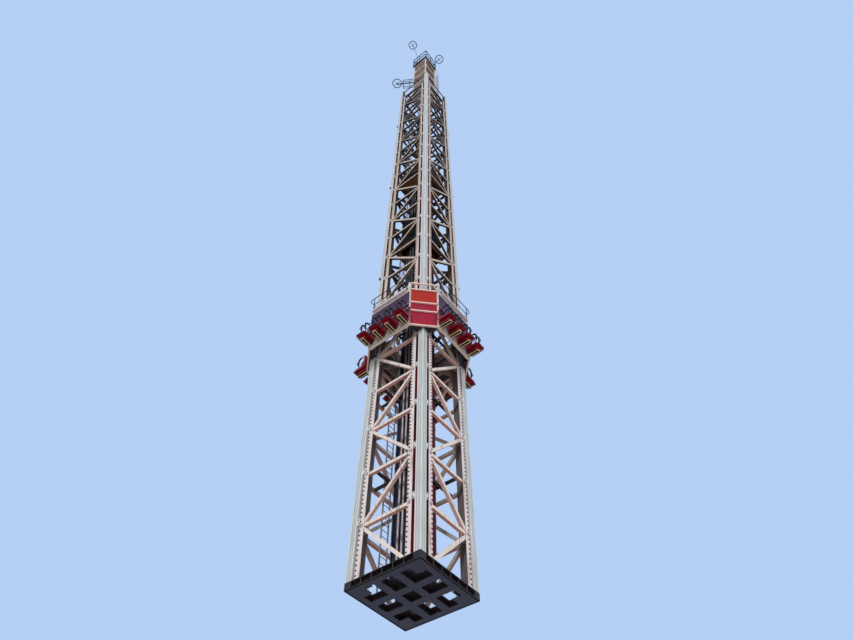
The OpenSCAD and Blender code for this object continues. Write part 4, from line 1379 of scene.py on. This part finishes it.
class RIDE_OT_seat_fittings(bpy.types.Operator):
    """Adds the edging, latch and bolts of the seat shells and the round side tubes"""

    bl_idname = "ride.seat_fittings"
    bl_label = "Seat fittings"

    def execute(self, context):
        edge, tubes = [], []
        rim = [(0.06, 0.555), (0.08, 0.37)]
        rim += [polar(0.2, 0.375, -0.12, a) for a in (0.3, 0.6, 0.9, 1.2, 1.5)]
        rim += [(0.315, 0.253), (0.338, 0.245), (0.345, 0.225), (0.335, 0.205)]
        nose = [(0.01, 0.46), (0.01, 0.238), (0.021, 0.198), (0.05, 0.169), (0.09, 0.158)]
        nose += [(0.33, 0.158)]
        nose += [polar(0.33, 0.208, 0.05, a - QUARTER) for a in (0.3, 0.6, 0.9, 1.2)]
        for side in (-1, 1):
            radius = sizes().edging_r
            edge.append(seat_tube([(side * 0.118, *point) for point in rim], radius))
            tubes.append(seat_tube([(side * 0.1355, *point) for point in nose], 0.0105, 10))
        for u, v, radius in ((0.034, 0.617, 0.008), (0.398, 0.193, 0.011)):
            edge.append(seat_tube([(-0.118, u, v), (0.118, u, v)], radius))
        fit(smooth(all_seats("seat_edging", *edge)), "carriage", *EDGING)
        fit(smooth(all_seats("side_tubes", *tubes)), "carriage", *CRIMSON, ["seat_tubes"])

        pin = bolt(seat_at(-0.1, 0.14, 0.172), DOWN, 0.009)
        row(pin, (2, 0.2, 0, 0), (2, 0, -0.16, 0))
        latch = rounded(block(seat_at(0, 0.33, 0.222), (0.03, 0.035, 0.05)), 0.006, 2)
        fit(all_seats("seat_bolts", pin, latch), "carriage", *BOLTS)
        return {"FINISHED"}


class RIDE_OT_seat_mounts(bpy.types.Operator):
    """Builds the tapered seat mounts, the cream loops that carry them and the walls behind"""

    bl_idname = "ride.seat_mounts"
    bl_label = "Seat mounts"

    def execute(self, context):
        body = block(seat_at(0, 0.19, 0.112), (0.164, 0.26, 0.12))
        reshaped(body, lambda v: v.co.z < CAR_Z + 0.1 and v.co.y < -CAR_R - 0.19, "VERT",
                 by=(0, 0.02, 0))
        reshaped(body, facing("z", -1), rim=0.007, by=(0, 0, 0.05))
        parts = [rounded(body, 0.004)]
        for side in (-1, 1):
            cheek = block(seat_at(side * 0.079, 0.03, 0.15), (0.01, 0.06, 0.13))
            reshaped(cheek, lambda v: v.co.z < CAR_Z + 0.15 and v.co.y > -CAR_R - 0.03, "VERT",
                     by=(0, 0, 0.03))
            parts.append(rounded(cheek, 0.003))
        fit(all_seats("seat_mounts", *parts), "carriage", *CRIMSON, ["seat_gussets"])

        pad = rounded(block(seat_at(0, 0.19, 0.098), (0.146, 0.235, 0.006)), 0.002)
        channel = rounded(block(seat_at(0, 0.17, 0.085), (0.05, 0.2, 0.02)), 0.004)
        fit(all_seats("mount_floors", pad, channel), "carriage", *EDGING)

        half, reach, level = 0.0385, 0.325, 0.048
        loop = [(-half, 0.002, level), (-half, reach, level), (half, reach, level),
                (half, 0.002, level)]
        parts = [bent_tube(loop, 0.03, 6, 0.0115, 12)]
        for x in (-half, half):
            for u in (0.1, 0.27):
                parts.append(seat_tube([(x, u, level), (x, u, 0.1)], 0.008, 10))
            flange = rod(seat_at(x, 0.004, level), 0.022, 0.008, 16, OUT_FRONT)
            parts.append(rounded(flange, 0.002))
        fit(smooth(all_seats("seat_loops", *parts)), "carriage", "tube_coat", "tube_cream")

        wall = block(seat_at(0, -0.004, 0.43), (1.155, 0.008, 0.61))
        reshaped(wall, facing("y", -1), rim=0.03, push=(0, 0.003, 0))
        rib = rounded(block(seat_at(-0.387, -0.016, 0.43), (0.03, 0.016, 0.6)), 0.003)
        row(rib, (3, 0.387, 0, 0))
        fit(four("back_walls", wall, rib), "carriage", "wall_coat", "gusset_grey")
        return {"FINISHED"}


def swell(pad, voxel, cap, sewn):
    """Blows a pad up with a cloth simulation that is held along its sewn lines."""
    modified(pad, "REMESH", mode="VOXEL", voxel_size=voxel)
    scene, frames = bpy.context.scene, 20
    start = [vertex.co.copy() for vertex in pad.data.vertices]
    held = pad.vertex_groups.new(name="sewn")
    held.add([v.index for v in pad.data.vertices if sewn(v.co)], 1.0, "REPLACE")
    cloth = pad.modifiers.new("Cloth", "CLOTH")
    cloth.settings.quality = 5
    cloth.settings.vertex_group_mass = held.name
    cloth.settings.use_pressure = True
    cloth.settings.uniform_pressure_force = 4
    cloth.settings.effector_weights.gravity = 0
    cloth.point_cache.frame_start = 1
    cloth.point_cache.frame_end = frames
    for step in range(1, frames + 1):
        scene.frame_set(step)
    pick(pad)
    bpy.ops.object.modifier_apply(modifier=cloth.name)
    for vertex, before in zip(pad.data.vertices, start):
        move = vertex.co - before
        if move.length > cap:
            vertex.co = before + move.normalized() * cap
    pad.vertex_groups.clear()
    scene.frame_set(1)
    modified(pad, "SUBSURF", levels=1, render_levels=1)
    bpy.ops.object.shade_smooth()
    return pad


def near_any(value, places, reach):
    """Whether a value is within reach of one of the places."""
    return any(abs(value - place) < reach for place in places)


class RIDE_OT_cushions(bpy.types.Operator):
    """Makes the padded seat, back and head cushions"""

    bl_idname = "ride.cushions"
    bl_label = "Seat cushions"

    def execute(self, context):
        thick, slope = sizes().pad_t, 0.0507
        pan_v, back_v, head_v, seams = 0.201, 0.26, 0.47, (-0.05, 0.05)

        def front(v):
            return 0.0662 - (v - back_v) * slope

        pads = [block(seat_at(0, 0.225, pan_v + thick / 2), (0.192, 0.28, thick))]
        for v, width, tall in ((0.365, 0.192, 0.19), (0.53, 0.15, 0.1)):
            at = seat_at(0, front(v) + thick / 2, v)
            pads.append(block(at, (width, thick, tall), (-slope, 0, 0)))
        for pad in pads:
            rounded(pad, thick * 0.45, 4)

        def sewn(co):
            u, v = -co.y - CAR_R, co.z - CAR_Z
            seam = near_any(co.x, seams, 0.006)
            if v < back_v:
                return v < pan_v + thick * 0.25 or seam
            return u < front(v) + thick * 0.25 or (v < head_v and seam)

        swollen = swell(joined("cushion", *pads), 0.011, 0.009, sewn)
        cushions = along_seats("seat_cushions", swollen)
        for side, angle in SIDES.items():
            piece = copied(cushions, angle, name="seat_cushions_" + side)
            fit(piece, "carriage", "cushion_coat", "harness_black")
        bpy.data.objects.remove(cushions)
        return {"FINISHED"}


def shoulder(x):
    """Middle line of a shoulder tube, from the hinge to the lap."""
    u, v = HINGE_U, HINGE_V
    line = [polar(u + 0.09, v - 0.02, 0.077, math.radians(d)) for d in range(165, 89, -15)]
    line += [polar(u + 0.15, v - 0.04, 0.097, math.radians(d)) for d in range(90, -1, -15)]
    return [seat_at(x, *point) for point in line + [(u + 0.247, v - 0.21), (u + 0.197, v - 0.31)]]


class RIDE_OT_harnesses(bpy.types.Operator):
    """Builds the shoulder harnesses with their barrels, handles and pads"""

    bl_idname = "ride.harnesses"
    bl_label = "Harnesses"

    def execute(self, context):
        u, v, span, grip_x = HINGE_U, HINGE_V, 0.062, 0.088
        left, right = shoulder(-span), shoulder(span)
        loop = left[:-3] + bend(left[-3:] + right[:-4:-1], 0.03, 6) + right[-4::-1]
        parts = [tube(loop, 0.0125, 12), bored(seat_at(0, u, v), 0.017, 0.0083, 0.18, ALONG_X)]
        for side in (-1, 1):
            x, out = side * grip_x, u + 0.275
            grip = [(side * span, u + 0.247, v - 0.07), (x, out, v - 0.075),
                    (x, out, v - 0.165), (side * span, u + 0.247, v - 0.17)]
            parts.append(bent_tube(grip, 0.02, 4, 0.007, 8))
            sleeve = seat_tube([(x, out, v - 0.095), (x, out, v - 0.145)], 0.0105, 12)
            parts.append(rounded(sleeve, 0.002))
        tubes = smooth(along_seats("harness_tubes", *parts))

        radius, lap = sizes().harness_r, (u + 0.197, v - 0.305)
        pads = [tube(line[6:-1], radius, 14) for line in (left, right)]
        pads.append(seat_tube([(-0.056, *lap), (0.056, *lap)], radius * 1.05, 14))
        pad = joined("pad", *[rounded(part, 0.009, 3) for part in pads])
        levels = [CAR_Z + v - 0.31 + 0.062 * i for i in range(1, 6)]
        swollen = swell(pad, 0.01, 0.006, lambda co: near_any(co.z, levels, 0.004))
        pads = along_seats("harness_pads", swollen)
        for side, angle in SIDES.items():
            body = "harness_" + side
            piece = copied(tubes, angle, name="harness_tubes_" + side)
            fit(piece, body, "rail_coat", "harness_black", [body])
            soft = copied(pads, angle, name="harness_pads_" + side)
            fit(soft, body, "cushion_coat", "harness_black")
        bpy.data.objects.remove(tubes)
        bpy.data.objects.remove(pads)
        return {"FINISHED"}


OPERATORS = (
    RIDE_OT_stage,
    RIDE_OT_coats,
    RIDE_OT_leg_bolts,
    RIDE_OT_node_bolts,
    RIDE_OT_base_fittings,
    RIDE_OT_drive,
    RIDE_OT_housing,
    RIDE_OT_shroud,
    RIDE_OT_top_fittings,
    RIDE_OT_antennas,
    RIDE_OT_beacons,
    RIDE_OT_corner_fittings,
    RIDE_OT_side_fittings,
    RIDE_OT_fascia_trim,
    RIDE_OT_walkway_fittings,
    RIDE_OT_handrails,
    RIDE_OT_wheels,
    RIDE_OT_seat_fittings,
    RIDE_OT_seat_mounts,
    RIDE_OT_cushions,
    RIDE_OT_harnesses,
)


class RIDE_PT_panel(bpy.types.Panel):
    """Lists the steps that dress the ride"""

    bl_label = "Drop Tower Ride"
    bl_idname = "RIDE_PT_panel"
    bl_space_type = "VIEW_3D"
    bl_region_type = "UI"
    bl_category = "Drop Tower"

    def draw(self, context):
        layout = self.layout
        for group in (context.scene.ride_sizes, context.scene.ride_colours):
            box = layout.box()
            for key in group.__annotations__:
                box.prop(group, key)
        for step in OPERATORS:
            layout.operator(step.bl_idname)


CLASSES = (RideSizes, RideColours, *OPERATORS, RIDE_PT_panel)


def register():
    for cls in CLASSES:
        bpy.utils.register_class(cls)
    bpy.types.Scene.ride_sizes = bpy.props.PointerProperty(type=RideSizes)
    bpy.types.Scene.ride_colours = bpy.props.PointerProperty(type=RideColours)


def unregister():
    del bpy.types.Scene.ride_colours
    del bpy.types.Scene.ride_sizes
    for cls in reversed(CLASSES):
        bpy.utils.unregister_class(cls)


def main():
    register()
    for step in OPERATORS:
        group, name = step.bl_idname.split(".")
        getattr(getattr(bpy.ops, group), name)()
    fresh()


if __name__ == "__main__":
    main()
